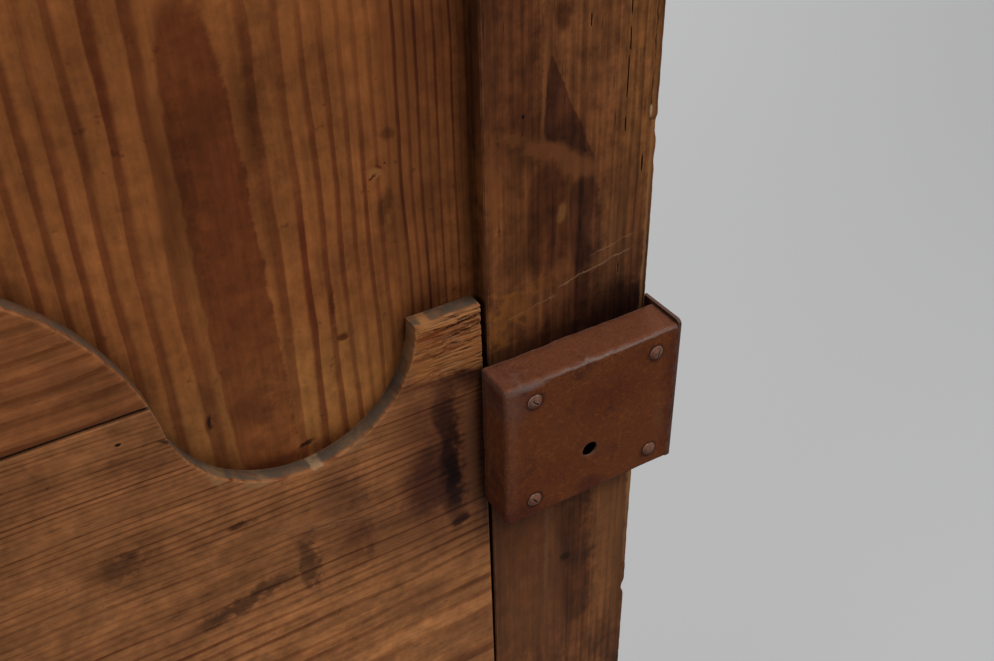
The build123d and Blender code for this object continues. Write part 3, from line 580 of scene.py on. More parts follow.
@dataclass(frozen=True)
class PineFinish:
    """Old waxed pine: one board's rings, colours, marks and wear. Lengths are in millimetres."""

    name: str
    run: Run
    origin: Vector
    pith_across: float
    pith_depth: float
    early: Colour
    late: Colour
    spacing: float = 6.0
    crowding: float = 0.0
    wander: float = 10.0
    sway: float = 3.0
    ripple: float = 1.2
    late_width: float = 0.4
    contrast: float = 0.85
    mottle: float = 0.3
    streaks: float = 0.22
    pores: float = 0.5
    flecks: float = 0.4
    speckle: float = 0.15
    dirt: float = 0.6
    relief: float = 0.4
    dust: float = 0.5
    dust_slope: float = 0.25
    dust_from: float = -3000.0
    dust_until: float = 3000.0
    wear: float = 0.5
    worn_tint: Colour = (0.22, 0.10, 0.042)
    # strength of the painted shade in corners and recesses
    corner_shade: float = 0.8
    blots: tuple[Blot, ...] = ()

    dirt_tint = (0.5, 0.46, 0.48)
    glow = 0.5
    glow_tint = (1.35, 1.4, 1.5)
    pore_tint = (0.012, 0.005, 0.003)
    fleck_tint = (0.25, 0.2, 0.2)
    dust_tint = (0.070, 0.051, 0.035)
    # painted shade in corners and recesses: its tint, and the reach in millimetres within which it darkens
    corner_shade_tint = (0.16, 0.12, 0.11)
    corner_shade_reach = 11.0
    arris = 1.3
    fibre_rise = 0.6
    gloss = 0.06
    # depths behind the lock face between which the marks fade out
    marks_thin, marks_end = 12.0, 16.0

    def wood(self, graph: Graph, grain: bpy.types.NodeOutputs, clouds: Feed) -> Feed:
        """Colour of rings, fibres and pores under uneven wax and handling dirt.

        Args:
            graph: The material's graph.
            grain: Outputs of the grain group.
            clouds: Broad noise that wax and dirt follow.

        Returns:
            The colour.
        """
        late = graph.math("MULTIPLY", grain["Late"], self.contrast)
        colour = graph.mix(late, opaque(self.early), opaque(self.late))
        colour = graph.tint(graph.span(clouds, 0.42, 0.68, 0.0, self.dirt), colour, self.dirt_tint)
        colour = graph.tint(graph.span(clouds, 0.48, 0.3, 0.0, self.glow), colour, self.glow_tint)
        tone, fibre = (
            graph.span(grain[part], 0.3, 0.7, 1.0 - swing, 1.0 + swing, smooth=False)
            for part, swing in (("Tone", self.mottle), ("Fibre", self.streaks)))
        colour = graph.shade(colour, graph.math("MULTIPLY", tone, fibre))
        return graph.mix(graph.math("MULTIPLY", grain["Pores"], self.pores), colour, opaque(self.pore_tint))

    def dusted(self, graph: Graph, effects: Effects, spot: Feed, inward: Feed) -> Feed:
        """Share of dust, between the depths that hold any.

        Args:
            graph: The material's graph.
            effects: The shared groups.
            spot: Place on the object.
            inward: The place's depth in metres.

        Returns:
            The share, from 0 to 1.
        """
        dusty = graph.math("MULTIPLY", effects.dust.put(graph, {
            "Vector": spot, "Lowest Slope": self.dust_slope, "Patch Scale": 150.0})["Mask"], self.dust)
        first, last = DATUM.y + self.dust_from * MM, DATUM.y + self.dust_until * MM
        dusty = graph.math("MULTIPLY", dusty, graph.span(inward, first, first + 2.0 * MM))
        return graph.math("MULTIPLY", dusty, graph.span(inward, last - 1.0 * MM, last, 1.0, 0.0))

    def build(self, effects: Effects) -> bpy.types.Material:
        """Make the material.

        Args:
            effects: The shared groups.

        Returns:
            The material.
        """
        material, graph = new_material(self.name)
        spot = graph.node("TexCoord").outputs["Object"]
        board = graph.node("Mapping", {"vector_type": "TEXTURE"}, {
            "Vector": spot, "Location": tuple(self.origin), "Rotation": self.run.radians()}).outputs[0]
        grain = effects.grain.put(graph, {
            "Vector": board, "Pith Across": self.pith_across * MM, "Pith Depth": self.pith_depth * MM,
            "Ring Spacing": self.spacing * MM, "Ring Crowding": self.crowding, "Wander": self.wander * MM,
            "Sway": self.sway * MM, "Ripple": self.ripple * MM, "Late Width": self.late_width})
        clouds = graph.noise(graph.along(board, 0.5), 22.0, 5.0, 0.68)
        colour = self.wood(graph, grain, clouds)
        coarse = graph.push(spot, 110.0, 3.0, 0.72)
        colour = graph.shade(colour, graph.span(
            graph.split(coarse)["X"], -0.2, 0.2, 1.0 - self.speckle, 1.0 + self.speckle, smooth=False))
        flecks = graph.span(graph.noise(spot, 170.0, 2.0, 0.6), 0.68, 0.76, 0.0, self.flecks)
        colour = graph.tint(flecks, colour, self.fleck_tint)
        inward = graph.split(spot)["Y"]
        dusty = self.dusted(graph, effects, spot, inward)
        colour = graph.mix(dusty, colour, opaque(self.dust_tint))
        tremor = graph.vector("MULTIPLY", coarse, (2.0, 2.0, 2.0))
        lock_side = graph.span(
            inward, DATUM.y + self.marks_thin * MM, DATUM.y + self.marks_end * MM, 1.0, 0.0)
        for blot in self.blots:
            colour = blot.lay(graph, effects, spot, tremor, colour, lock_side)
        worn = effects.wear.put(graph, {
            "Vector": spot, "Radius": self.arris * MM, "Patchiness": 0.85, "Patch Scale": 90.0})["Mask"]
        colour = graph.mix(graph.math("MULTIPLY", worn, self.wear), colour, opaque(self.worn_tint))
        # painted shade: ambient occlusion darkens the colour in corners and recesses
        corner_darkening = graph.span(graph.hollows(self.corner_shade_reach), 0.95, 0.3, 0.0, self.corner_shade)
        colour = graph.tint(corner_darkening, colour, self.corner_shade_tint)
        # dark waxed late wood is the smoothest, dust the roughest
        rough = graph.math("MULTIPLY_ADD", grain["Late"], -0.06, graph.span(clouds, 0.4, 0.65, 0.62, 0.52))
        rough = graph.math("MULTIPLY_ADD", dusty, 0.3, rough, clamp=True)
        bump = graph.node("Bump", {}, {
            "Strength": self.relief, "Distance": self.fibre_rise * MM, "Height": grain["Height"]})
        graph.end("Material", graph.node("BsdfPrincipled", {}, {
            "Base Color": colour, "Roughness": rough, "Normal": bump.outputs[0],
            "Specular IOR Level": self.gloss}))
        return material


@dataclass(frozen=True)
class IronFinish:
    """Rusty iron: rust colours, bare arrises, dust and marks. Lengths are in millimetres."""

    name: str
    deep: Colour
    middle: Colour
    bright: Colour
    bare: Colour = (0.14, 0.10, 0.09)
    bareness: float = 0.6
    wear_radius: float = 1.4
    patch_scale: float = 45.0
    dust: float = 0.4
    dust_tint: Colour = (0.09, 0.046, 0.034)
    relief: float = 0.35
    blots: tuple[Blot, ...] = ()

    # painted shade in corners, such as round the screw heads: its tint and reach
    corner_shade_tint = (0.2, 0.15, 0.16)
    corner_shade_reach = 5.0
    pit_depth = 0.4
    gloss = 0.10

    def build(self, effects: Effects) -> bpy.types.Material:
        """Make the material.

        Args:
            effects: The shared groups.

        Returns:
            The material.
        """
        material, graph = new_material(self.name)
        spot = graph.node("TexCoord").outputs["Object"]
        rust = effects.rust.put(graph, {
            "Vector": spot, "Deep": opaque(self.deep), "Middle": opaque(self.middle),
            "Bright": opaque(self.bright), "Patch Scale": self.patch_scale})
        colour = rust["Color"]
        coarse = graph.push(spot, 130.0, 4.0, 0.65)
        for blot in self.blots:
            colour = blot.lay(graph, effects, spot, coarse, colour)
        # painted shade: ambient occlusion darkens the rust in corners, such as round the screw heads
        corner_darkening = graph.span(graph.hollows(self.corner_shade_reach), 0.95, 0.4, 0.0, 0.85)
        colour = graph.tint(corner_darkening, colour, self.corner_shade_tint)
        dusty = graph.math("MULTIPLY", effects.dust.put(graph, {
            "Vector": spot, "Lowest Slope": 0.45, "Patch Scale": 160.0})["Mask"], self.dust)
        colour = graph.mix(dusty, colour, opaque(self.dust_tint))
        worn = graph.math("MULTIPLY", effects.wear.put(graph, {
            "Vector": spot, "Radius": self.wear_radius * MM, "Patchiness": 0.9,
            "Patch Scale": 260.0})["Mask"], self.bareness)
        colour = graph.mix(worn, colour, opaque(self.bare))
        rough = graph.math("MULTIPLY_ADD", worn, -0.25, rust["Roughness"], clamp=True)
        bump = graph.node("Bump", {}, {
            "Strength": self.relief, "Distance": self.pit_depth * MM, "Height": rust["Height"]})
        graph.end("Material", graph.node("BsdfPrincipled", {}, {
            "Base Color": colour, "Roughness": rough, "Metallic": graph.math("MULTIPLY", worn, 0.3),
            "Normal": bump.outputs[0], "Specular IOR Level": self.gloss}))
        return material


def dress(node: str, material: bpy.types.Material) -> None:
    """Give a carried-over node its material.

    Args:
        node: The node's name.
        material: The finish that it gets.
    """
    mesh = frame["nodes"][node].data
    mesh.materials.clear()
    mesh.materials.append(material)
    LOG.info("dressed %s in %s", node, material.name)


Shift = Callable[[Vector, Vector], Vector]
Choice = Callable[[bmesh.types.BMFace], bool]


class WornMesh:
    """A node's own shape, merged, cut into small faces where its wear shows, and worn."""

    merged_under = 1e-6
    flat_under = 0.4
    rounding_steps = 2

    def __init__(self, node: str) -> None:
        """Copy and merge the node's mesh.

        Args:
            node: The node whose mesh is worn.
        """
        self.node = node
        self.bm = bmesh.new()
        self.bm.from_mesh(frame["nodes"][node].data)
        bmesh.ops.remove_doubles(self.bm, verts=self.bm.verts[:], dist=self.merged_under)
        bmesh.ops.dissolve_limit(self.bm, angle_limit=math.radians(self.flat_under),
                                 use_dissolve_boundaries=False, verts=self.bm.verts[:],
                                 edges=self.bm.edges[:])

    def soften(self, width: float, chosen: Callable[[bmesh.types.BMEdge], bool]) -> None:
        """Round the chosen arrises, by a width in millimetres."""
        edges = [edge for edge in self.bm.edges if chosen(edge)]
        if edges:
            bmesh.ops.bevel(self.bm, geom=edges, offset=width * MM, offset_type="OFFSET", affect="EDGES",
                            segments=self.rounding_steps, profile=0.5, material=-1, clamp_overlap=True)

    def slice(self, axis: Axis, places: Iterable[float], chosen: Optional[Choice] = None) -> None:
        """Cut faces at each place along an axis.

        Args:
            axis: What the cuts are square to.
            places: In millimetres from the datum.
            chosen: Says which faces are cut; all of them where it is left out.
        """
        step, normal = axis.value, axis.normal()
        faces = [face for face in self.bm.faces if chosen is None or chosen(face)]
        geometry = [*faces, *{edge for face in faces for edge in face.edges},
                    *{vert for face in faces for vert in face.verts}]
        for spot in places:
            level = DATUM[step] + spot * MM
            geometry = bmesh.ops.bisect_plane(self.bm, geom=geometry, dist=1e-7, plane_co=normal * level,
                                              plane_no=normal)["geom"]

    def shift(self, rule: Shift, low: Vector, high: Vector) -> None:
        """Move the points between two corners.

        Args:
            rule: Gives a point's move from its place and normal, all in millimetres from the datum.
            low: Lowest corner in millimetres from the datum.
            high: Highest corner.
        """
        self.bm.normal_update()
        moves = []
        for vert in self.bm.verts:
            spot = from_datum(vert.co)
            if all(low[step] <= spot[step] <= high[step] for step in range(3)):
                moves.append((vert, rule(spot, vert.normal)))
        for vert, move in moves:
            vert.co += move * MM

    def finish(self, slot: str, material: bpy.types.Material, smooth_under: float = 38.0) -> None:
        """Make the piece, which rides on the leaf and stands for its node.

        Args:
            slot: Not used.
            material: Its material.
            smooth_under: Edges under this angle in degrees are shaded smooth.
        """
        limit = math.radians(smooth_under)
        bmesh.ops.triangulate(self.bm, faces=[face for face in self.bm.faces if len(face.verts) > 4])
        for face in self.bm.faces:
            face.smooth = True
        for edge in self.bm.edges:
            edge.smooth = edge.is_manifold and edge.calc_face_angle(0.0) < limit
        name = self.node + "_worn"
        mesh = bpy.data.meshes.new(name)
        self.bm.to_mesh(mesh)
        self.bm.free()
        mesh.materials.append(material)
        piece = link(name, mesh)
        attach(piece, "leaf")
        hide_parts(self.node)
        LOG.info("%s: %d faces", name, len(mesh.polygons))


def steps(start: float, stop: float, size: float) -> list[float]:
    """Even places from start to stop."""
    count = max(1, round((stop - start) / size))
    return [start + (stop - start) * index / count for index in range(count + 1)]


def faces_lock_side(face: bmesh.types.BMFace) -> bool:
    """True for a face that looks out of the leaf's lock face."""
    return face.normal.y < -0.8


@dataclass(frozen=True)
class Crack:
    """A drying crack along the grain, in millimetres from the datum."""

    x: float
    low: float
    high: float
    width: float = 0.8
    depth: float = 2.2

    closing = 4.0

    def sink(self, spot: Vector) -> float:
        """Depth of the crack at a place, closing towards its ends.

        Args:
            spot: Place in millimetres from the datum.

        Returns:
            The depth in millimetres, 0 beside the crack.
        """
        if abs(spot.x - self.x) > self.width / 2 or not self.low < spot.z < self.high:
            return 0.0
        ends = min(spot.z - self.low, self.high - spot.z)
        return self.depth * ease(ends, 0.0, min(self.closing, (self.high - self.low) / 2))


@dataclass(frozen=True)
class Nick:
    """A nick in the stile's outer edge: its height and depth, and half its length at its mouth and floor."""

    z: float
    depth: float
    mouth: float
    floor: float

    def bite(self, z: float) -> float:
        """Depth of the nick at a height."""
        return self.depth * ease(abs(z - self.z), self.mouth, self.floor)


@dataclass
class LockStile:
    """The stile that carries the lock: split arris above it, rubbed arris below it, drying cracks."""

    low: float = -330.0
    high: float = 200.0
    width: float = 100.0
    thickness: float = 31.0
    split_foot: float = 112.0
    split_inner: float = 95.0
    skin: float = 0.2
    cell_across: float = 2.6
    cell_up: float = 2.2

    cracks = (
        Crack(80.3, 168.0, 190.0), Crack(80.3, 150.5, 163.0), Crack(79.7, 127.0, 148.5),
        Crack(79.8, 110.0, 118.0), Crack(91.1, 84.5, 95.0, 1.1, 2.6), Crack(79.8, 28.0, 35.5),
        Crack(57.9, 167.0, 173.5),
    )
    # lines of grain that the cracks follow
    crack_lines = (80.0, 91.1, 57.9)
    nicks = (Nick(108.0, 1.1, 7.0, 3.0), Nick(-227.0, 1.4, 7.0, 2.0), Nick(90.0, 0.5, 7.0, 2.0))

    def ragged(self, spot: Vector) -> float:
        """How far the outer edge is broken back at a height.

        Args:
            spot: Place in millimetres from the datum.

        Returns:
            The distance in millimetres.
        """
        fuzz = 0.3 * abs(waver(0.0, spot.z, 3.2, 1.0))
        rough = fuzz + 0.4 * max(0.0, waver(spot.y * 0.4, spot.z, 9.0, 2.0))
        chip = 1.8 * max(0.0, waver(spot.y * 0.3, spot.z, 17.0, 3.0) - 0.25)
        return rough + chip + sum(nick.bite(spot.z) for nick in self.nicks)

    def splinter(self, spot: Vector, outer: float) -> Vector:
        """Move where the arris is split away: the step leans with the grain, and its floor is torn.

        Args:
            spot: Place in millimetres from the datum.
            outer: Share that falls off from the outer edge inwards.

        Returns:
            The move in millimetres.
        """
        at_step = ease(abs(spot.x - self.split_inner), 1.2, 0.3)
        lean = 1.6 * ease(spot.z, self.split_foot, 175.0) + 0.7 * waver(0.0, spot.z, 9.0, 7.0) - 0.6
        return Vector((at_step * lean, outer * (0.5 * abs(waver(spot.x, spot.z * 0.3, 3.0, 8.0))), 0.0))

    def wear(self, spot: Vector, normal: Vector) -> Vector:
        """Move of one point of the stile.

        Args:
            spot: Place in millimetres from the datum.
            normal: Normal there.

        Returns:
            The move in millimetres.
        """
        move = Vector()
        on_face = spot.y < self.skin
        if on_face and 1.5 < spot.x < self.split_inner + 1.0:
            move.y += (0.22 * waver(spot.x, spot.z * 0.4, 26.0, 4.0)
                       + 0.1 * waver(spot.x, spot.z * 0.2, 5.0, 5.0))
        # the slits follow the grain, which sways a little
        near = max(ease(abs(spot.x - line), 7.0, 1.5) for line in self.crack_lines)
        move.x += 0.8 * near * waver(0.0, spot.z, 38.0, 6.0)
        if on_face:
            move.y += sum(crack.sink(spot) for crack in self.cracks)
        outer = ease(spot.x, self.split_inner - 1.0, self.width - 0.6)
        if spot.z > self.split_foot - 1.0 and spot.y < 3.0:
            move += self.splinter(spot, outer)
        move.x -= outer * ease(spot.y, 9.0, 4.0) * self.ragged(spot)
        inner = ease(spot.x, 2.5, 0.0) * ease(spot.y, 2.0, 0.0)
        move.x += inner * (0.15 + 0.4 * abs(waver(0.0, spot.z, 6.0, 8.0)))
        move.y += inner * 0.25 * abs(waver(0.0, spot.z, 4.0, 9.0))
        return move

    def build(self, material: bpy.types.Material) -> None:
        """Make the stile.

        Args:
            material: Finish of the stile.
        """
        worn = WornMesh("lock_stile")
        window: Choice = lambda face: faces_lock_side(face) and self.low < middle(face).z < self.high
        worn.slice(Axis.Z, (self.low, self.high))
        columns = {round(x, 2) for x in steps(3.0, self.width - 0.8, self.cell_across)}
        for crack in self.cracks:
            # cuts inside and just outside the walls of each crack
            columns |= {round(crack.x + side * crack.width / 2 * share, 2)
                        for side in (-1, 1) for share in (0.3, 1.05)}
        worn.slice(Axis.X, sorted(columns), window)
        worn.slice(Axis.Z, steps(self.low, self.high, self.cell_up)[1:-1])
        worn.shift(self.wear, Vector((-2.0, -1.0, self.low + 1.0)),
                   Vector((self.width + 1.0, self.thickness, self.high - 1.0)))
        worn.finish("leaf_pine", material)


@dataclass(frozen=True)
class TornCrack:
    """A crack between torn fibres of the ear, rising towards the stile, in millimetres from the datum."""

    z: float
    slope: float
    sway: float
    line: float
    size: float
    seed: float
    half: float
    depth: float
    begins: float
    full: float

    hinge = -12.0

    def opening(self, spot: Vector) -> float:
        """1 on the crack's line, falling to 0 at half its width.

        Args:
            spot: Place in millimetres from the datum.

        Returns:
            The share of the crack's depth.
        """
        rise = self.slope * (spot.x - self.hinge)
        sway = self.sway * waver(spot.x, self.line, self.size, self.seed)
        return ease(abs(spot.z - self.z - rise - sway), self.half, 0.2)


@dataclass
class MidRail:
    """The shaped rail in two boards: ears, half-round dips, and the crest on an open joint."""

    left: float = -275.0
    low: float = -275.0
    high: float = 155.0
    thickness: float = 31.0
    ear_left: float = -40.0
    ear_foot: float = -4.0
    ear_top: float = 39.7
    dip_x: float = -102.0
    dip_radius: float = 62.0
    crest_x: float = -300.0
    crest_z: float = 9.7
    crest_radius: float = 138.26
    near_rim: float = 2.2
    arris: float = 1.1

    torn_cracks = (
        TornCrack(33.0, 0.10, 0.7, 0.0, 5.0, 18.0, 0.75, 2.6, -30.0, -18.0),
        TornCrack(27.5, 0.13, 0.6, 5.0, 4.0, 19.0, 0.7, 2.0, -26.0, -15.0),
        TornCrack(20.0, 0.12, 0.5, 9.0, 4.0, 24.0, 0.6, 1.3, -14.0, -9.0),
    )

    def rim(self, spot: Vector) -> Vector:
        """Direction from a point of the outline into the wood, or nothing away from it.

        Args:
            spot: Place in millimetres from the datum.

        Returns:
            The direction, of length 1 or 0.
        """
        from_dip = Vector((spot.x - self.dip_x, 0.0, spot.z - self.ear_top))
        if abs(from_dip.length - self.dip_radius) < self.near_rim and spot.z < self.ear_top + 1.0:
            return from_dip.normalized()
        from_crest = Vector((spot.x - self.crest_x, 0.0, spot.z - self.crest_z))
        if abs(from_crest.length - self.crest_radius) < self.near_rim and spot.z > self.crest_z:
            return -from_crest.normalized()
        return Vector()

    def rim_wear(self, spot: Vector, inside: Vector) -> Vector:
        """Move of a point on the outline: crumbled arris and small chips.

        Args:
            spot: Place in millimetres from the datum.
            inside: Direction into the wood.

        Returns:
            The move in millimetres.
        """
        run = math.atan2(spot.z - self.ear_top, spot.x - self.dip_x) * self.dip_radius
        worn = (0.15 + 0.5 * abs(waver(run, spot.y * 0.4, 5.0, 13.0))
                + 0.4 * abs(waver(run, spot.y, 2.2, 26.0))
                + 1.1 * max(0.0, waver(run, 0.0, 21.0, 14.0) - 0.2))
        move = inside * worn * (0.45 + 0.55 * ease(spot.y, 3.5, 0.0))
        move.y += ease(spot.y, 0.9, 0.0) * 0.4 * abs(waver(run, 0.0, 4.0, 15.0))
        return move

    def ear_wear(self, spot: Vector, normal: Vector) -> Vector:
        """Move of a point of the ear: torn grain on its face, and a broken upper arris.

        Args:
            spot: Place in millimetres from the datum.
            normal: Normal there.

        Returns:
            The move in millimetres.
        """
        move = Vector()
        torn = ease(spot.z, -3.0, 8.0) * ease(spot.y, 1.0, 0.2)
        rows = waver(spot.x * 0.05, spot.z, 0.8, 16.0) + 0.5 * waver(spot.x * 0.1, spot.z, 2.2, 17.0)
        tears = max(0.0, waver(spot.x * 0.16, spot.z, 1.3, 23.0) - 0.2)
        move.y += torn * (0.42 * max(-0.4, rows) + 0.24 + 4.2 * tears * ease(spot.x, -48.0, -8.0))
        for crack in self.torn_cracks:
            move.y += torn * crack.opening(spot) * crack.depth * ease(spot.x, crack.begins, crack.full)
        top = ease(spot.z, self.ear_top - 1.2, self.ear_top)
        bitten = 0.15 + 0.6 * abs(waver(spot.x, 0.0, 2.2, 20.0))
        chipped = ease(abs(spot.x + 31.0), 8.0, 4.0) * (0.8 + 0.6 * waver(spot.x, 0.0, 3.0, 21.0))
        move.z -= top * ease(spot.y, 1.3, 0.0) * bitten
        move.z -= top * ease(spot.y, 6.0, 2.0) * chipped
        if normal.z > 0.5:
            rough = 0.3 * waver(spot.x, spot.y, 3.0, 22.0)
            move.z -= 0.3 + rough + 0.25 * waver(spot.x, spot.y, 1.5, 25.0)
        return move

    def wear(self, spot: Vector, normal: Vector) -> Vector:
        """Move of one point of the rail or its crest.

        Args:
            spot: Place in millimetres from the datum.
            normal: Normal there.

        Returns:
            The move in millimetres.
        """
        move = Vector()
        inside = self.rim(spot)
        if inside.length > 0.5:
            move += self.rim_wear(spot, inside)
        elif spot.y < 0.2:
            move.y += (0.2 * waver(spot.x * 0.3, spot.z, 20.0, 11.0)
                       + 0.13 * waver(spot.x * 0.12, spot.z, 4.2, 12.0))
        if self.ear_left - 2.0 < spot.x < 0.0 and spot.z > self.ear_foot:
            move += self.ear_wear(spot, normal)
        return move

    def on_outline(self, edge: bmesh.types.BMEdge) -> bool:
        """True for an arris of the lock face along the dips and crest."""
        ends = [from_datum(vert.co) for vert in edge.verts]
        return all(abs(end.y) < 0.05 and self.rim(end).length > 0.5 for end in ends)

    def on_ear(self, face: bmesh.types.BMFace) -> bool:
        """True for a face of the ear or close beside it."""
        spot = middle(face)
        return spot.x > self.ear_left - 3.0 and self.ear_foot - 1.0 < spot.z and spot.y < 12.0

    def build(self, material: bpy.types.Material, crest_material: bpy.types.Material) -> None:
        """Make both boards.

        Args:
            material: Finish of the lower board.
            crest_material: Finish of the crest.
        """
        low, high = Vector((self.left, -1.0, self.low + 1.0)), Vector((0.5, self.thickness, self.high))
        window: Choice = lambda face: faces_lock_side(face) and middle(face).x > self.left
        rail = WornMesh("mid_rail")
        rail.soften(self.arris, self.on_outline)
        rail.slice(Axis.X, (self.left,))
        rail.slice(Axis.X, steps(self.left, -2.0, 3.0)[1:], window)
        rail.slice(Axis.Z, steps(self.low, 44.0, 2.4), window)
        rail.slice(Axis.Z, steps(self.ear_foot, 39.4, 0.5), self.on_ear)
        rail.slice(Axis.X, steps(-39.5, -4.0, 1.6), self.on_ear)
        rail.slice(Axis.Y, steps(1.2, 9.6, 2.1), self.on_ear)
        rail.shift(self.wear, low, high)
        rail.finish("leaf_pine", material)
        crest = WornMesh("mid_rail_crest")
        crest.soften(self.arris, self.on_outline)
        crest.slice(Axis.X, steps(self.left, -165.0, 3.0), faces_lock_side)
        crest.slice(Axis.Z, steps(48.0, 148.0, 2.6), window)
        crest.shift(self.wear, low, high)
        crest.finish("leaf_pine", crest_material)


@dataclass(frozen=True)
class Scar:
    """A small dent in the panel, in millimetres from the datum."""

    x: float
    z: float
    size: float
    depth: float

    flattened = 0.7

    def sink(self, spot: Vector) -> float:
        """Depth of the dent at a place."""
        far = math.hypot(spot.x - self.x, (spot.z - self.z) * self.flattened) / self.size
        return self.depth * math.exp(-far * far)


@dataclass
class UpperPanel:
    """The upper panel's lock-side board, seen with its scars."""

    left: float = -290.0
    low: float = -30.0
    high: float = 330.0
    front: float = 5.0
    back: float = 15.0
    cell: float = 2.6

    scars = (
        Scar(-48.7, 120.3, 3.2, 0.9), Scar(-45.5, 100.8, 3.6, 0.4), Scar(-73.1, 41.0, 2.4, 0.6),
        Scar(-141.6, 18.7, 2.2, 1.2), Scar(-96.9, -14.2, 3.2, 1.2), Scar(-121.3, 18.5, 6.0, 0.3),
    )

    def wear(self, spot: Vector, normal: Vector) -> Vector:
        """Move of one point of the panel: hand-planed hollows and small scars.

        Args:
            spot: Place in millimetres from the datum.
            normal: Normal there.

        Returns:
            The move in millimetres.
        """
        if normal.y > -0.8:
            return Vector()
        move = 0.35 * waver(spot.x, spot.z * 0.25, 34.0, 31.0) + 0.12 * waver(spot.x, spot.z * 0.1, 6.0, 32.0)
        for scar in self.scars:
            move += scar.sink(spot)
        return Vector((0.0, move, 0.0))

    def build(self, material: bpy.types.Material) -> None:
        """Make the board.

        Args:
            material: Finish of the board.
        """
        board = WornMesh("upper_panel_lock_side")
        window: Choice = lambda face: faces_lock_side(face) and self.low - 20.0 < middle(face).z < self.high
        board.slice(Axis.Z, (self.high,))
        board.slice(Axis.X, steps(self.left, -2.0, self.cell), window)
        board.slice(Axis.Z, steps(self.low, self.high, self.cell)[:-1], window)
        board.shift(self.wear, Vector((self.left, self.front, self.low)),
                    Vector((-1.0, self.back, self.high - 2.0)))
        board.finish("leaf_pine", material)


@dataclass
class LockCase:
    """The rim lock's folded sheet case, a little dented."""

    front: float = -23.0
    left: float = -4.3
    right: float = 105.4
    foot: float = -95.9
    head_room: float = 9.0
    cell: float = 2.0
    cell_deep: float = 2.2
    smooth_under: float = 50.0

    screws = ((14.0, -13.9), (91.0, -13.9), (14.0, -83.1), (91.0, -83.1))

    def wear(self, spot: Vector, normal: Vector) -> Vector:
        """Move of one point, the same for both skins of the sheet.

        Args:
            spot: Place in millimetres from the datum.
            normal: Normal there.

        Returns:
            The move in millimetres.
        """
        away = min(math.hypot(spot.x - x, spot.z - z) for x, z in self.screws)
        calm = ease(away, self.head_room / 2, self.head_room)
        front = ease(spot.y, self.front + 5.0, self.front + 1.8)
        top = ease(spot.z, -5.0, -1.8)
        side = ease(spot.x, self.left + 5.0, self.left + 1.8)
        move = Vector()
        dent = 0.34 * waver(spot.x, spot.z, 27.0, 41.0) + 0.13 * waver(spot.x, spot.z, 8.5, 42.0)
        move.y += front * calm * (dent + 0.2)
        press = 0.42 * waver(spot.x, spot.y, 19.0, 43.0) + 0.14 * waver(spot.x, spot.y, 6.0, 44.0)
        move.z += top * (press - 0.35) * ease(spot.x, self.left, self.left + 6.0)
        move.x += side * (0.4 * waver(spot.y, spot.z, 17.0, 45.0) + 0.25) * ease(spot.z, -2.0, -8.0)
        nick = max(0.0, waver(spot.x, 0.0, 3.0, 46.0) - 0.15)
        move += front * top * Vector((0.0, 0.9, -0.9)) * nick
        rear = ease(spot.y, -3.0, -0.4) * top
        move.z -= rear * 0.7 * max(0.0, waver(spot.x, 0.0, 11.0, 47.0))
        if spot.z < -1.2:
            # the inner skin leaves room for the spring that slides under it
            move.z = max(move.z, -0.15)
        return move

    def build(self, material: bpy.types.Material) -> None:
        """Make the case.

        Args:
            material: Finish of the case.
        """
        case = WornMesh("lock_case")
        case.slice(Axis.X, steps(self.left + 1.9, self.right - 0.4, self.cell))
        case.slice(Axis.Z, steps(self.foot + 1.9, -1.9, self.cell))
        case.slice(Axis.Y, steps(self.front + 1.9, -1.5, self.cell_deep))
        case.shift(self.wear, Vector((-6.0, -24.0, -97.0)), Vector((107.0, 1.0, 1.0)))
        case.finish("lock_iron", material, self.smooth_under)


# Colours of the pine, from the pale torn wood to old stains and painted shadow
STRAW: Colour = (0.235, 0.086, 0.024)
GOLD: Colour = (0.16, 0.066, 0.022)
AMBER: Colour = (0.20, 0.070, 0.014)
DARK_STAIN: Colour = (0.48, 0.43, 0.52)
BROWN_STAIN: Colour = (0.55, 0.48, 0.50)
# near black, for soot and for the painted shadow beside the lock case
SOOT_AND_SHADOW: Colour = (0.22, 0.19, 0.22)
SMUDGE: Colour = (0.36, 0.36, 0.40)
# black of holes and pits, and of the painted shadow in the split
HOLE_AND_SHADOW: Colour = (0.004, 0.002, 0.002)
SCRATCH: Colour = (0.20, 0.115, 0.06)
PALE_LIP: Colour = (0.20, 0.11, 0.05)


def scratch(x: float, z: float, half_x: float, half_z: float, strength: float, turn: float) -> Blot:
    """A fine pale scratch across the stile."""
    return film(x, z, half_x, half_z, SCRATCH, strength, 0.9, turn=turn, ragged=3.0)


def torn_line(x: float, z: float, half_x: float, half_z: float, tint: Colour, strength: float,
              turn: float) -> Blot:
    """The shadow along a torn fibre of the ear."""
    return Blot(x, z, half_x, half_z, tint, strength, 0.8, turn=turn, corner=3.0, ragged=5.0)


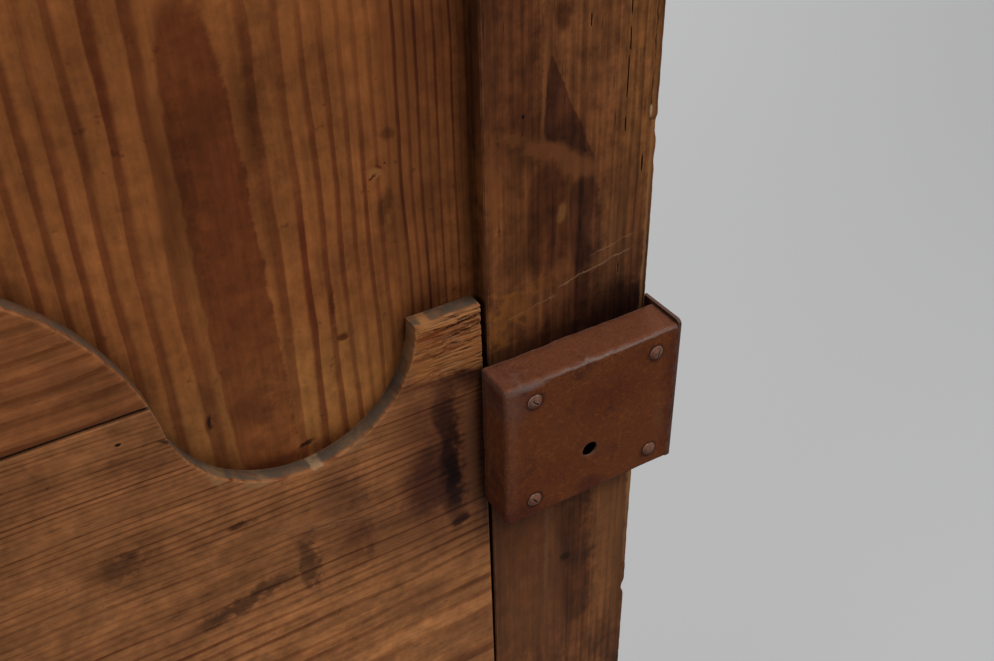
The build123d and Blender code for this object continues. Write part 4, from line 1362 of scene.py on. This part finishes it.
STILE_BLOTS = (
    # darker inner half, paler outer strip, and old stains with hard edges
    Blot(14.0, 160.0, 17.0, 45.0, (0.62, 0.55, 0.58), 0.9, 0.3, corner=4.0, ragged=6.0),
    Blot(90.0, 150.0, 12.0, 60.0, (1.35, 1.45, 1.3), 0.9, 0.6, corner=4.0, ragged=4.0),
    Blot(35.0, 76.0, 12.0, 29.0, BROWN_STAIN, 0.9, 0.16, corner=3.5, taper=0.2, ragged=3.0),
    Blot(41.8, 134.1, 10.8, 17.0, DARK_STAIN, 1.0, 0.09, turn=-36.0, taper=0.98, lean=-1.11, corner=7.0,
         ragged=1.6),
    Blot(58.0, 66.0, 9.5, 27.0, DARK_STAIN, 0.95, 0.14, turn=5.0, taper=0.1, corner=4.0, ragged=2.0),
    Blot(60.0, 24.0, 10.0, 30.0, (0.5, 0.44, 0.52), 0.85, 0.5, corner=3.0, ragged=5.0),
    # pale rubbed bands round the stains
    film(33.0, 146.0, 1.0, 24.0, (0.155, 0.056, 0.018), 0.7, 0.5, turn=-3.0, corner=4.0, ragged=1.6),
    film(43.7, 76.5, 2.6, 5.0, GOLD, 0.75, 0.4, turn=-12.0, ragged=3.0),
    film(14.0, 124.0, 10.0, 3.0, (0.15, 0.055, 0.018), 0.4, 0.7, turn=-24.0, ragged=12.0),
    film(34.0, 112.5, 13.0, 4.6, (0.125, 0.043, 0.014), 0.75, 0.4, turn=-20.0, ragged=5.0),
    film(52.0, 101.5, 12.0, 5.0, (0.120, 0.043, 0.015), 0.65, 0.5, turn=-34.0, ragged=5.0),
    film(3.5, 98.0, 5.0, 20.0, (0.18, 0.060, 0.018), 0.55, 0.8, ragged=12.0),
    # old varnish over the inner end of the lock
    film(9.0, 33.0, 9.0, 5.0, AMBER, 0.6, 0.8, turn=8.0, ragged=22.0),
    film(17.0, 24.0, 8.0, 4.0, AMBER, 0.55, 0.8, turn=-12.0, ragged=22.0),
    film(5.0, 17.0, 5.0, 7.0, AMBER, 0.5, 0.8, ragged=22.0),
    film(27.0, 38.0, 7.0, 3.0, AMBER, 0.35, 0.9, ragged=20.0),
    film(74.0, 45.0, 10.0, 30.0, (0.13, 0.055, 0.020), 0.35, 0.9, ragged=22.0),
    Blot(42.5, 176.0, 4.5, 7.0, (0.4, 0.36, 0.36), 0.9, 0.4, ragged=3.0),
    Blot(26.0, 88.0, 34.0, 56.0, (0.92, 0.86, 0.78), 0.9, 0.8, ragged=10.0),
    # soot along the top of the lock
    Blot(62.0, 20.0, 42.0, 17.0, (0.62, 0.58, 0.60), 0.9, 0.8, ragged=16.0),
    Blot(50.0, 2.0, 60.0, 12.0, SOOT_AND_SHADOW, 0.95, 0.8, ragged=14.0),
    Blot(86.0, 9.0, 16.0, 13.0, SOOT_AND_SHADOW, 0.95, 0.6, ragged=12.0),
    film(21.5, 132.8, 0.9, 0.9, HOLE_AND_SHADOW, soft=0.3, ragged=0.3),
    scratch(49.0, 34.6, 6.0, 0.45, 0.7, 12.0),
    scratch(60.5, 37.3, 5.0, 0.35, 0.75, 9.0),
    scratch(70.0, 38.6, 5.5, 0.45, 0.7, 12.0),
    scratch(81.0, 41.0, 6.0, 0.35, 0.7, 10.0),
    scratch(72.0, 47.5, 9.0, 0.35, 0.5, 12.0),
    scratch(86.0, 50.0, 4.0, 0.3, 0.5, 12.0),
    scratch(33.0, 28.0, 7.0, 0.4, 0.5, 9.0),
    scratch(17.0, 25.0, 5.0, 0.35, 0.4, 9.0),
    # below the lock: smooth brown half, pale line, dark band, paler outer strip
    film(24.0, -175.0, 26.0, 74.0, (0.108, 0.040, 0.015), 0.55, 0.5, corner=4.0, ragged=10.0),
    film(84.0, -180.0, 14.0, 70.0, (0.128, 0.050, 0.019), 0.45, 0.5, corner=4.0, ragged=6.0),
    film(37.0, -150.0, 1.4, 52.0, (0.150, 0.064, 0.028), 0.5, 0.7, corner=4.0, ragged=3.0),
    Blot(58.0, -165.0, 12.0, 75.0, (0.60, 0.54, 0.53), 0.95, 0.4, turn=3.0, corner=3.0, ragged=8.0),
    Blot(51.0, -171.0, 4.0, 3.0, (0.3, 0.28, 0.28), 0.9, 0.4, turn=20.0, ragged=3.0),
    Blot(18.0, -130.0, 20.0, 50.0, (0.86, 0.78, 0.74), 0.8, 0.7, ragged=10.0),
    # painted shade under the lock case, with some grime
    Blot(50.0, -101.0, 62.0, 17.0, (0.32, 0.27, 0.28), 0.95, 0.9, ragged=12.0),
    Blot(83.0, -160.0, 10.0, 80.0, (1.3, 1.35, 1.2), 0.8, 0.6, corner=4.0, ragged=5.0),
    # fresh wood along the outer arris, and the painted shadow of the split's step
    film(97.8, -122.0, 2.0, 28.0, (0.25, 0.110, 0.034), 0.7, 0.5, corner=4.0, ragged=4.0),
    film(98.2, -175.0, 1.4, 26.0, (0.20, 0.085, 0.028), 0.5, 0.6, corner=4.0, ragged=4.0),
    film(96.6, 60.0, 0.9, 55.0, (0.22, 0.11, 0.04), 0.5, 0.6, corner=6.0, ragged=1.6),
    film(95.3, 145.0, 0.7, 31.0, HOLE_AND_SHADOW, 0.85, 0.5, corner=6.0, ragged=1.8),
    film(95.6, 116.5, 1.2, 3.0, (0.36, 0.25, 0.14), 0.9, 0.4, ragged=1.5),
)

RAIL_BLOTS = (
    # black stain beside the lock
    Blot(-26.0, -46.0, 27.0, 56.0, (0.52, 0.46, 0.52), 0.9, 0.5, corner=3.0, ragged=12.0),
    Blot(-37.0, -60.0, 15.0, 23.0, (0.36, 0.31, 0.38), 0.9, 0.5, ragged=13.0),
    Blot(-25.0, -46.0, 6.0, 46.0, (0.20, 0.17, 0.22), 0.95, 0.5, turn=3.0, corner=3.0, ragged=8.0),
    Blot(-24.0, -66.0, 4.5, 24.0, (0.5, 0.46, 0.52), 0.9, 0.5, turn=3.0, corner=3.0, ragged=5.0),
    Blot(-70.0, -165.0, 90.0, 48.0, (1.42, 1.46, 1.42), 0.9, 0.8, turn=-8.0, ragged=20.0),
    film(-11.5, -50.0, 4.0, 36.0, (0.12, 0.048, 0.022), 0.7, 0.4, ragged=4.0),
    # painted shadow cast by the lock case: along the foot of the ear, down the case's inner side and below
    # its corner
    Blot(-6.0, -3.0, 16.0, 8.0, SOOT_AND_SHADOW, 0.95, 0.6, turn=-16.0, ragged=6.0),
    Blot(-3.0, -50.0, 4.5, 58.0, SOOT_AND_SHADOW, 0.9, 0.5, ragged=3.0),
    Blot(-20.0, -99.5, 6.0, 3.6, SOOT_AND_SHADOW, 0.95, 0.35, turn=8.0, ragged=3.0),
    # smudges, specks and scratches over the board
    Blot(-109.0, -84.0, 5.5, 19.0, SMUDGE, 0.9, 0.45, ragged=10.0),
    Blot(-145.0, -91.0, 28.0, 5.0, SMUDGE, 0.95, 0.5, turn=13.0, ragged=11.0),
    Blot(-82.0, -83.0, 9.0, 16.0, (0.62, 0.58, 0.6), 0.85, 0.5, ragged=12.0),
    Blot(-86.0, -44.0, 13.0, 20.0, (0.62, 0.62, 0.68), 0.85, 0.45, ragged=12.0),
    Blot(-141.7, -38.5, 4.6, 2.0, (0.3, 0.28, 0.3), 0.95, 0.4, ragged=2.5),
    Blot(-199.0, -35.0, 11.0, 7.0, SMUDGE, 0.85, 0.6, ragged=11.0),
    Blot(-160.0, -150.0, 60.0, 9.0, (0.66, 0.58, 0.56), 0.8, 0.7, turn=-4.0, ragged=14.0),
    film(-183.3, 33.4, 1.4, 0.8, HOLE_AND_SHADOW, soft=0.4, ragged=0.6),
    film(-164.2, 26.0, 3.2, 0.9, (0.012, 0.005, 0.004), 0.8, 0.5, turn=-30.0, ragged=1.6),
    film(-104.0, -58.0, 34.0, 0.35, SCRATCH, 0.35, 0.8, turn=-18.3, corner=6.0, ragged=1.5),
    film(-95.0, -64.0, 24.0, 0.3, SCRATCH, 0.3, 0.8, turn=-15.0, corner=6.0, ragged=1.5),
    # the ear: pale torn wood with darker lines between its fibres
    film(-21.0, 20.0, 22.0, 17.0, STRAW, 0.62, 0.16, turn=-4.0, corner=7.0, ragged=4.0),
    film(-20.0, 36.0, 20.0, 1.6, (0.34, 0.145, 0.048), 0.6, 0.7, corner=6.0, ragged=4.0),
    film(-33.0, 39.2, 2.8, 1.6, (0.28, 0.12, 0.04), 0.8, 0.5, ragged=3.0),
    Blot(-26.0, 31.0, 15.0, 2.2, (0.72, 0.54, 0.46), 0.85, 0.9, turn=4.0, ragged=7.0),
    Blot(-20.0, 21.0, 18.0, 1.2, (0.62, 0.44, 0.36), 0.85, 0.9, turn=6.0, ragged=6.0),
    torn_line(-15.0, 33.0, 16.0, 0.9, (0.34, 0.20, 0.15), 0.9, 5.0),
    torn_line(-11.0, 29.0, 13.0, 1.1, (0.26, 0.15, 0.12), 0.9, 6.0),
    torn_line(-21.0, 25.0, 16.0, 0.8, (0.40, 0.24, 0.2), 0.85, 4.0),
    torn_line(-27.0, 19.5, 12.0, 0.7, (0.50, 0.34, 0.26), 0.8, 4.0),
    Blot(-32.0, 29.0, 7.0, 3.0, (0.80, 0.60, 0.50), 0.8, 0.8, ragged=6.0),
    torn_line(-34.0, 9.0, 8.0, 0.8, (0.50, 0.34, 0.28), 0.8, 9.0),
    Blot(-24.0, 2.0, 26.0, 2.6, (0.5, 0.42, 0.44), 0.85, 0.7, turn=-7.0, ragged=4.0),
    # chips and rubbed places along the lip of the dip
    film(-97.2, -17.0, 3.4, 6.0, (0.27, 0.165, 0.085), 0.9, 0.2, corner=5.0, ragged=2.4),
    film(-128.0, -19.0, 7.0, 1.6, PALE_LIP, 0.6, 0.8, turn=-20.0, ragged=5.0),
    film(-146.0, -6.0, 6.0, 1.5, PALE_LIP, 0.6, 0.8, turn=-46.0, ragged=5.0),
    film(-75.0, -18.0, 7.0, 1.4, (0.17, 0.095, 0.045), 0.5, 0.8, turn=22.0, ragged=5.0),
    film(-41.5, 26.0, 1.2, 9.0, (0.19, 0.10, 0.045), 0.6, 0.8, turn=-6.0, ragged=5.0),
)

PANEL_BLOTS = (
    # the broad red stripe down the middle
    Blot(-119.0, 88.0, 14.5, 124.0, (0.64, 0.52, 0.54), 1.0, 0.06, turn=1.2, taper=0.12, corner=4.0,
         ragged=3.0),
    Blot(-119.0, 165.0, 20.0, 62.0, (0.80, 0.76, 0.76), 0.9, 0.5, corner=3.0, ragged=9.0),
    Blot(-134.5, 130.0, 6.0, 46.0, (0.66, 0.68, 0.66), 0.8, 0.8, ragged=9.0),
    Blot(-100.0, 165.0, 5.0, 20.0, (0.66, 0.68, 0.66), 0.7, 0.8, ragged=9.0),
    Blot(-121.3, 18.5, 9.0, 9.0, (0.6, 0.55, 0.58), 0.85, 0.6, ragged=8.0),
    # darker towards the stile, partly dirt and partly painted shadow of the stile, paler in the dip
    Blot(-12.0, 120.0, 22.0, 150.0, (0.70, 0.68, 0.68), 0.95, 0.6, corner=4.0, ragged=12.0),
    Blot(-20.0, 175.0, 30.0, 34.0, (0.66, 0.6, 0.6), 0.8, 0.8, ragged=14.0),
    Blot(-101.0, -19.0, 50.0, 4.0, (0.62, 0.56, 0.56), 0.9, 0.8, ragged=8.0),
    Blot(-105.0, 16.0, 70.0, 30.0, (1.37, 1.62, 1.60), 0.9, 0.8, ragged=12.0),
    # painted shadow of the ear on the panel
    Blot(-30.0, 40.0, 22.0, 12.0, (0.42, 0.36, 0.36), 0.9, 0.8, turn=35.0, ragged=9.0),
    # scars, pits and specks
    film(-48.9, 120.3, 3.6, 2.0, (0.21, 0.085, 0.024), 0.85, 0.5, turn=-10.0, ragged=5.0),
    film(-49.8, 118.8, 2.2, 0.6, (0.05, 0.008, 0.005), 0.9, 0.5, turn=25.0, ragged=3.0),
    film(-46.9, 122.6, 1.8, 0.5, (0.09, 0.012, 0.006), 0.9, 0.5, turn=-35.0, ragged=3.0),
    film(-43.6, 124.0, 0.7, 0.6, (0.06, 0.008, 0.006), 0.9, 0.5, ragged=1.0),
    Blot(-45.5, 102.0, 3.4, 8.0, (0.42, 0.42, 0.4), 0.85, 0.5, turn=-14.0, ragged=5.0),
    Blot(-41.0, 137.0, 3.6, 2.6, (0.5, 0.48, 0.5), 0.85, 0.6, ragged=4.0),
    Blot(-73.1, 41.0, 2.6, 2.0, (0.3, 0.2, 0.16), 0.9, 0.4, ragged=2.4),
    Blot(-76.0, 60.0, 1.2, 10.0, (0.5, 0.42, 0.4), 0.8, 0.7, ragged=4.0),
    film(-141.6, 19.4, 1.2, 4.4, HOLE_AND_SHADOW, 0.85, 0.5, turn=-14.0, ragged=3.4),
    film(-97.5, -13.6, 4.4, 1.5, HOLE_AND_SHADOW, 0.85, 0.5, turn=14.0, ragged=3.4),
)

CASE_BLOTS = (
    # darker foot and ends
    Blot(51.0, -90.0, 9.0, 6.0, (0.6, 0.5, 0.85), 0.9, 0.6, ragged=8.0),
    Blot(-3.0, -50.0, 6.0, 62.0, (0.96, 1.05, 1.45), 0.9, 0.7, ragged=8.0),
    Blot(51.0, -96.0, 60.0, 2.0, (0.55, 0.45, 0.5), 0.9, 0.8, ragged=5.0),
    Blot(8.0, -94.0, 18.0, 7.0, (0.6, 0.5, 0.66), 0.85, 0.7, ragged=8.0),
    Blot(104.0, -50.0, 5.0, 60.0, (0.7, 0.6, 0.66), 0.8, 0.7, ragged=8.0),
    # pale line along the upper fold: rubbed iron with a painted highlight
    film(62.0, -2.1, 42.0, 0.8, (0.20, 0.14, 0.12), 0.75, 0.8, corner=4.0, ragged=3.0),
    film(8.0, -3.4, 11.0, 1.8, (0.15, 0.10, 0.085), 0.7, 0.8, ragged=5.0),
    # uneven patches over the front
    Blot(62.0, -30.0, 20.0, 12.0, (0.74, 0.62, 0.66), 0.85, 0.8, ragged=22.0),
    Blot(30.0, -70.0, 22.0, 10.0, (0.86, 0.78, 0.72), 0.8, 0.8, ragged=22.0),
    Blot(92.0, -13.0, 20.0, 7.0, (0.80, 0.76, 0.74), 0.85, 0.8, turn=-14.0, ragged=14.0),
    Blot(3.0, -86.0, 10.0, 13.0, (0.74, 0.62, 0.70), 0.85, 0.8, ragged=12.0),
    film(2.0, -14.0, 7.0, 10.0, (0.080, 0.036, 0.026), 0.55, 0.8, ragged=12.0),
    film(98.0, -60.0, 4.0, 12.0, (0.12, 0.048, 0.020), 0.3, 0.9, ragged=18.0),
    film(1.0, -30.0, 1.8, 40.0, (0.13, 0.048, 0.024), 0.3, 0.9, ragged=10.0),
    # painted shadow: dark rings round the screw heads
    *(Blot(x, z, 5.6, 5.6, (0.35, 0.28, 0.32), 0.9, 0.28, ragged=1.6) for x, z in LockCase.screws),
)


@dataclass
class Leaf:
    """The door leaf: its boards, pegs and the close-up pieces."""

    effects: Effects
    early: Colour = (0.165, 0.055, 0.016)
    late: Colour = (0.088, 0.025, 0.008)
    torn_tint: Colour = (0.27, 0.135, 0.062)

    def board(self, node: str, run: Run, across: float, depth: float, **rest: float) -> PineFinish:
        """Finish of a board whose pattern is centred on it.

        Args:
            node: The board's node.
            run: Lie of its grain.
            across: Place of the pith across the board, in millimetres from its middle.
            depth: Depth of the pith behind the lock face.
            rest: Other fields of the finish.

        Returns:
            The finish.
        """
        low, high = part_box(node)
        centre = (low + high) / 2
        origin = Vector((centre.x, DATUM.y, centre.z))
        return PineFinish(node + "_pine", run, origin, across, depth, self.early, self.late, **rest)

    def close_up(self) -> None:
        """Build and dress the pieces round the lock."""
        stile = PineFinish(
            "lock_stile_pine", Run.LEAF_UPRIGHT, place(0.0, 0.0), pith_across=20.0, pith_depth=62.0,
            early=(0.115, 0.040, 0.013), late=(0.050, 0.015, 0.006), spacing=3.6, wander=7.0, sway=2.5,
            contrast=0.72, mottle=0.45, streaks=0.32, pores=0.6, flecks=0.6, speckle=0.3, dirt=0.7,
            dust=0.4, wear=0.7, blots=STILE_BLOTS)
        LockStile().build(stile.build(self.effects))
        rail = PineFinish(
            "mid_rail_pine", Run.LEAF_LEVEL, place(-100.0, 0.0), pith_across=210.0, pith_depth=75.0,
            early=(0.215, 0.083, 0.029), late=(0.100, 0.030, 0.009), spacing=9.0, crowding=-3.9,
            wander=30.0, sway=8.0, ripple=1.0, late_width=0.42, contrast=1.0, mottle=0.24, streaks=0.12,
            flecks=0.45, speckle=0.24, dust=0.95, dust_slope=-0.22, dust_from=1.0, dust_until=29.0,
            wear=0.9, worn_tint=self.torn_tint, relief=0.5, blots=RAIL_BLOTS)
        crest = PineFinish(
            "mid_rail_crest_pine", Run.LEAF_LEVEL, place(-300.0, 90.0), pith_across=60.0, pith_depth=40.0,
            early=(0.198, 0.068, 0.022), late=(0.112, 0.032, 0.009), spacing=6.6, wander=20.0, sway=6.0,
            ripple=0.8, late_width=0.34, contrast=1.0, dust=0.8, dust_slope=0.1, dust_from=1.0, wear=0.9,
            worn_tint=self.torn_tint)
        MidRail().build(rail.build(self.effects), crest.build(self.effects))
        panel = PineFinish(
            "upper_panel_lock_side_pine", Run.LEAF_UPRIGHT, place(-119.0, 60.0, 10.0), pith_across=0.0,
            pith_depth=43.0, early=(0.190, 0.063, 0.017), late=(0.084, 0.0195, 0.006), spacing=8.2,
            crowding=5.5, wander=9.0, sway=5.0, ripple=1.3, late_width=0.42, contrast=1.0, mottle=0.22,
            streaks=0.10, speckle=0.2, pores=0.12, wear=0.1, corner_shade=0.7, blots=PANEL_BLOTS)
        UpperPanel().build(panel.build(self.effects))

    def others(self) -> None:
        """Dress the boards and pegs that keep their own shape."""
        boards = (
            ("hinge_stile", Run.LEAF_UPRIGHT, -38.0, 58.0, {"spacing": 4.4}),
            ("bottom_rail", Run.LEAF_LEVEL, 70.0, 66.0, {"spacing": 5.6, "wander": 18.0}),
            ("leaf_arch_lock_side", Run.LEAF_LOCK_HAUNCH, 40.0, 50.0, {"spacing": 5.4}),
            ("leaf_arch_crown", Run.LEAF_LEVEL, -60.0, 46.0, {"spacing": 6.0}),
            ("leaf_arch_hinge_side", Run.LEAF_HINGE_HAUNCH, -35.0, 55.0, {"spacing": 5.0}),
            ("leaf_arch_tongues", Run.LEAF_UPRIGHT, 0.0, 60.0, {}),
            ("upper_panel_hinge_side", Run.LEAF_UPRIGHT, 24.0, 44.0, {"spacing": 6.8, "crowding": 3.0}),
            ("lower_panel_hinge_side", Run.LEAF_UPRIGHT, -50.0, 48.0, {"spacing": 6.2}),
            ("lower_panel_lock_side", Run.LEAF_UPRIGHT, 46.0, 40.0, {"spacing": 7.0}),
        )
        for node, run, across, depth, rest in boards:
            dress(node, self.board(node, run, across, depth, **rest).build(self.effects))
        pegs = PineFinish(
            "peg_end_grain", Run.LEAF_LEVEL, place(0.0, 0.0), pith_across=0.0, pith_depth=0.0,
            early=(0.10, 0.04, 0.016), late=(0.05, 0.017, 0.008), spacing=2.0,
            wander=4.0).build(self.effects)
        for node in ("leaf_pegs", "crest_dowels", "frame_pegs"):
            dress(node, pegs)

    def build(self) -> None:
        """Build and dress the leaf."""
        self.close_up()
        self.others()


@dataclass
class DoorFrame:
    """The rebated frame: jambs, round head and threshold."""

    effects: Effects
    early: Colour = (0.150, 0.051, 0.016)
    late: Colour = (0.080, 0.024, 0.008)

    def build(self) -> None:
        """Dress the frame's pieces, each with its own board's pattern."""
        boards = (
            ("hinge_jamb", Run.FRAME_UPRIGHT, 55.0, 70.0), ("lock_jamb", Run.FRAME_UPRIGHT, -48.0, 80.0),
            ("frame_head_lock_side", Run.FRAME_LOCK_HAUNCH, 50.0, 75.0),
            ("frame_head_crown", Run.FRAME_LEVEL, 70.0, 70.0),
            ("frame_head_hinge_side", Run.FRAME_HINGE_HAUNCH, -60.0, 72.0),
            ("frame_tongues", Run.FRAME_UPRIGHT, 0.0, 60.0), ("threshold", Run.FRAME_LEVEL, 60.0, 90.0),
        )
        for node, run, across, depth in boards:
            low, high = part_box(node)
            finish = PineFinish(node + "_pine", run, (low + high) / 2, across, depth, self.early, self.late,
                                spacing=5.2, wander=14.0, contrast=0.8)
            dress(node, finish.build(self.effects))


@dataclass
class Ironwork:
    """The rim lock, hinges, nails and keeper."""

    effects: Effects

    case = IronFinish(
        "lock_case_rust", deep=(0.052, 0.0125, 0.0045), middle=(0.089, 0.0220, 0.0050),
        bright=(0.165, 0.049, 0.011), bare=(0.15, 0.092, 0.072), bareness=0.65, wear_radius=2.2,
        patch_scale=34.0, dust=0.5, dust_tint=(0.105, 0.037, 0.020), relief=1.0, blots=CASE_BLOTS)
    plain = IronFinish(
        "lock_iron_rust", deep=(0.025, 0.010, 0.008), middle=(0.065, 0.025, 0.015),
        bright=(0.10, 0.04, 0.02))
    heads = IronFinish(
        "screw_rust", deep=(0.035, 0.020, 0.014), middle=(0.120, 0.048, 0.028), bright=(0.21, 0.10, 0.06),
        bare=(0.26, 0.20, 0.17), bareness=0.85, wear_radius=0.8, patch_scale=230.0, relief=0.6)
    bolt = IronFinish(
        "bolt_rust", deep=(0.025, 0.017, 0.014), middle=(0.075, 0.055, 0.045), bright=(0.12, 0.08, 0.06),
        bareness=0.8)
    forged = IronFinish(
        "forged_rust", deep=(0.024, 0.011, 0.008), middle=(0.06, 0.026, 0.016),
        bright=(0.10, 0.043, 0.022), relief=0.6)
    nails = IronFinish(
        "nail_rust", deep=(0.02, 0.011, 0.009), middle=(0.05, 0.025, 0.018), bright=(0.09, 0.045, 0.03))

    def build(self) -> None:
        """Build the lock's case and dress the other iron pieces."""
        LockCase().build(self.case.build(self.effects))
        hinges = tuple(f"hinge_{half}_half_{spot}" for half in ("pin", "leaf")
                       for spot in ("bottom", "middle", "top"))
        groups = (
            (self.plain, ("lock_forend", "lock_backplate", "lock_posts", "bolt_guide")),
            (self.heads, ("lock_screws",)),
            (self.bolt, ("lock_bolt", "bolt_spring")),
            (self.forged, (*hinges, "keeper")),
            (self.nails, ("leaf_hinge_nails", "jamb_hinge_nails", "keeper_nails")),
        )
        for finish, nodes in groups:
            material = finish.build(self.effects)
            for node in nodes:
                dress(node, material)


@dataclass(frozen=True)
class Lamp:
    """A soft square lamp: where it hangs, what it looks at, its side in metres and its power in watts."""

    name: str
    spot: tuple[float, float, float]
    aim: tuple[float, float, float]
    size: float
    power: float

    def hang(self) -> None:
        """Add the lamp to the scene."""
        data = bpy.data.lights.new(self.name, "AREA")
        data.shape, data.size, data.energy = "SQUARE", self.size, self.power
        lamp = link(self.name, data)
        lamp.location = self.spot
        lamp.rotation_mode = "QUATERNION"
        lamp.rotation_quaternion = (Vector(self.aim) - Vector(self.spot)).to_track_quat("-Z", "Y")


@dataclass
class Studio:
    """Pale floor, soft light and the camera of the photograph."""

    floor_half: float = 30.0
    floor_colour: Colour = (0.42, 0.42, 0.42)
    # distances from the door at which the floor starts to fade into the surroundings, and is gone
    floor_clear: float = 2.6
    floor_gone: float = 7.0
    sky_light: Colour = (0.21, 0.212, 0.22)
    sky_seen: Colour = (0.50, 0.50, 0.50)
    eye: tuple[float, float, float] = (0.53065, -0.78375, 1.3973)
    yaw: float = 30.35
    pitch: float = 35.94
    roll: float = -1.25
    lens: float = 40.03
    sensor: float = 36.0
    nearest: float = 0.02

    lamps = (
        Lamp("key", (1.8, -1.9, 3.7), (0.8, -0.4, 1.0), 1.8, 118.0),
        Lamp("fill", (-2.4, -1.6, 1.9), (0.6, -0.4, 1.0), 1.6, 28.0),
        Lamp("back", (-2.6, 2.6, 2.8), (0.2, 0.0, 1.0), 2.4, 90.0),
        Lamp("floor", (2.9, 3.3, 3.4), (2.9, 3.0, 0.0), 2.4, 102.0),
    )

    def clear(self) -> None:
        """Take out what a new file holds."""
        kept = set(frame["nodes"].values()) | set(frame["bodies"].values())
        for thing in [thing for thing in bpy.data.objects if thing not in kept]:
            bpy.data.objects.remove(thing)

    def backdrop_rays(self, graph: Graph) -> Feed:
        """1 for the rays that see the backdrop: from the camera, off gloss and through glass.

        Args:
            graph: Graph of the surroundings or the floor.

        Returns:
            The share, 0 or 1.
        """
        rays = graph.node("LightPath").outputs
        mirrored = graph.math("MAXIMUM", rays["Is Camera Ray"], rays["Is Glossy Ray"])
        return graph.math("MAXIMUM", mirrored, rays["Is Transmission Ray"])

    def floor(self) -> None:
        """Lay the floor, which shows the surroundings far from the door, as a sweep of paper would."""
        grid = bmesh.new()
        bmesh.ops.create_grid(grid, x_segments=4, y_segments=4, size=self.floor_half)
        mesh = bpy.data.meshes.new("studio_floor")
        grid.to_mesh(mesh)
        grid.free()
        floor = link("studio_floor", mesh)
        material, graph = new_material("studio_floor")
        near = graph.node("BsdfPrincipled", {}, {
            "Base Color": opaque(self.floor_colour), "Roughness": 0.9, "Specular IOR Level": 0.1})
        haze = graph.node("Emission", {}, {"Color": opaque(self.sky_seen)})
        away = graph.node("VectorMath", {"operation": "LENGTH"}, {
            0: graph.node("TexCoord").outputs["Object"]}).outputs["Value"]
        far = graph.span(away, self.floor_clear, self.floor_gone)
        share = graph.math("MULTIPLY", far, self.backdrop_rays(graph))
        graph.end("Material", graph.node("MixShader", {}, {0: share, 1: near.outputs[0], 2: haze.outputs[0]}))
        mesh.materials.append(material)

    def world(self) -> None:
        """Plain pale surroundings."""
        world = bpy.data.worlds.new("studio")
        bpy.context.scene.world = world
        world.use_nodes = True
        world.node_tree.nodes.clear()
        graph = Graph(world.node_tree)
        colour = graph.mix(self.backdrop_rays(graph), opaque(self.sky_light), opaque(self.sky_seen))
        graph.end("World", graph.node("Background", {}, {"Color": colour}))

    def camera(self) -> None:
        """Set up the camera as the photograph was taken."""
        yaw, pitch, roll = (math.radians(angle) for angle in (self.yaw, self.pitch, self.roll))
        ahead = Vector((math.sin(yaw) * math.cos(pitch), math.cos(yaw) * math.cos(pitch), -math.sin(pitch)))
        level = Vector((math.cos(yaw), -math.sin(yaw), 0.0))
        upright = level.cross(ahead)
        right = level * math.cos(roll) + upright * math.sin(roll)
        up = upright * math.cos(roll) - level * math.sin(roll)
        data = bpy.data.cameras.new("photo_camera")
        data.lens, data.sensor_width, data.sensor_fit = self.lens, self.sensor, "HORIZONTAL"
        data.clip_start = self.nearest
        camera = link("photo_camera", data)
        turn = Matrix((right, up, -ahead)).transposed().to_4x4()
        camera.matrix_world = Matrix.Translation(self.eye) @ turn
        bpy.context.scene.camera = camera

    def build(self) -> None:
        """Set up the studio."""
        self.floor()
        self.world()
        for lamp in self.lamps:
            lamp.hang()
        self.camera()
        view = bpy.context.scene.view_settings
        view.view_transform = "Standard"


def main() -> None:
    """Build the scene and report each piece."""
    logging.basicConfig(level=logging.INFO, format="%(name)s: %(message)s", stream=sys.stdout)
    studio = Studio()
    studio.clear()
    bpy.context.view_layer.update()
    studio.build()
    effects = Effects.build()
    for part in (Leaf(effects), DoorFrame(effects), Ironwork(effects)):
        part.build()
    bpy.context.view_layer.update()


if __name__ == "__main__":
    main()
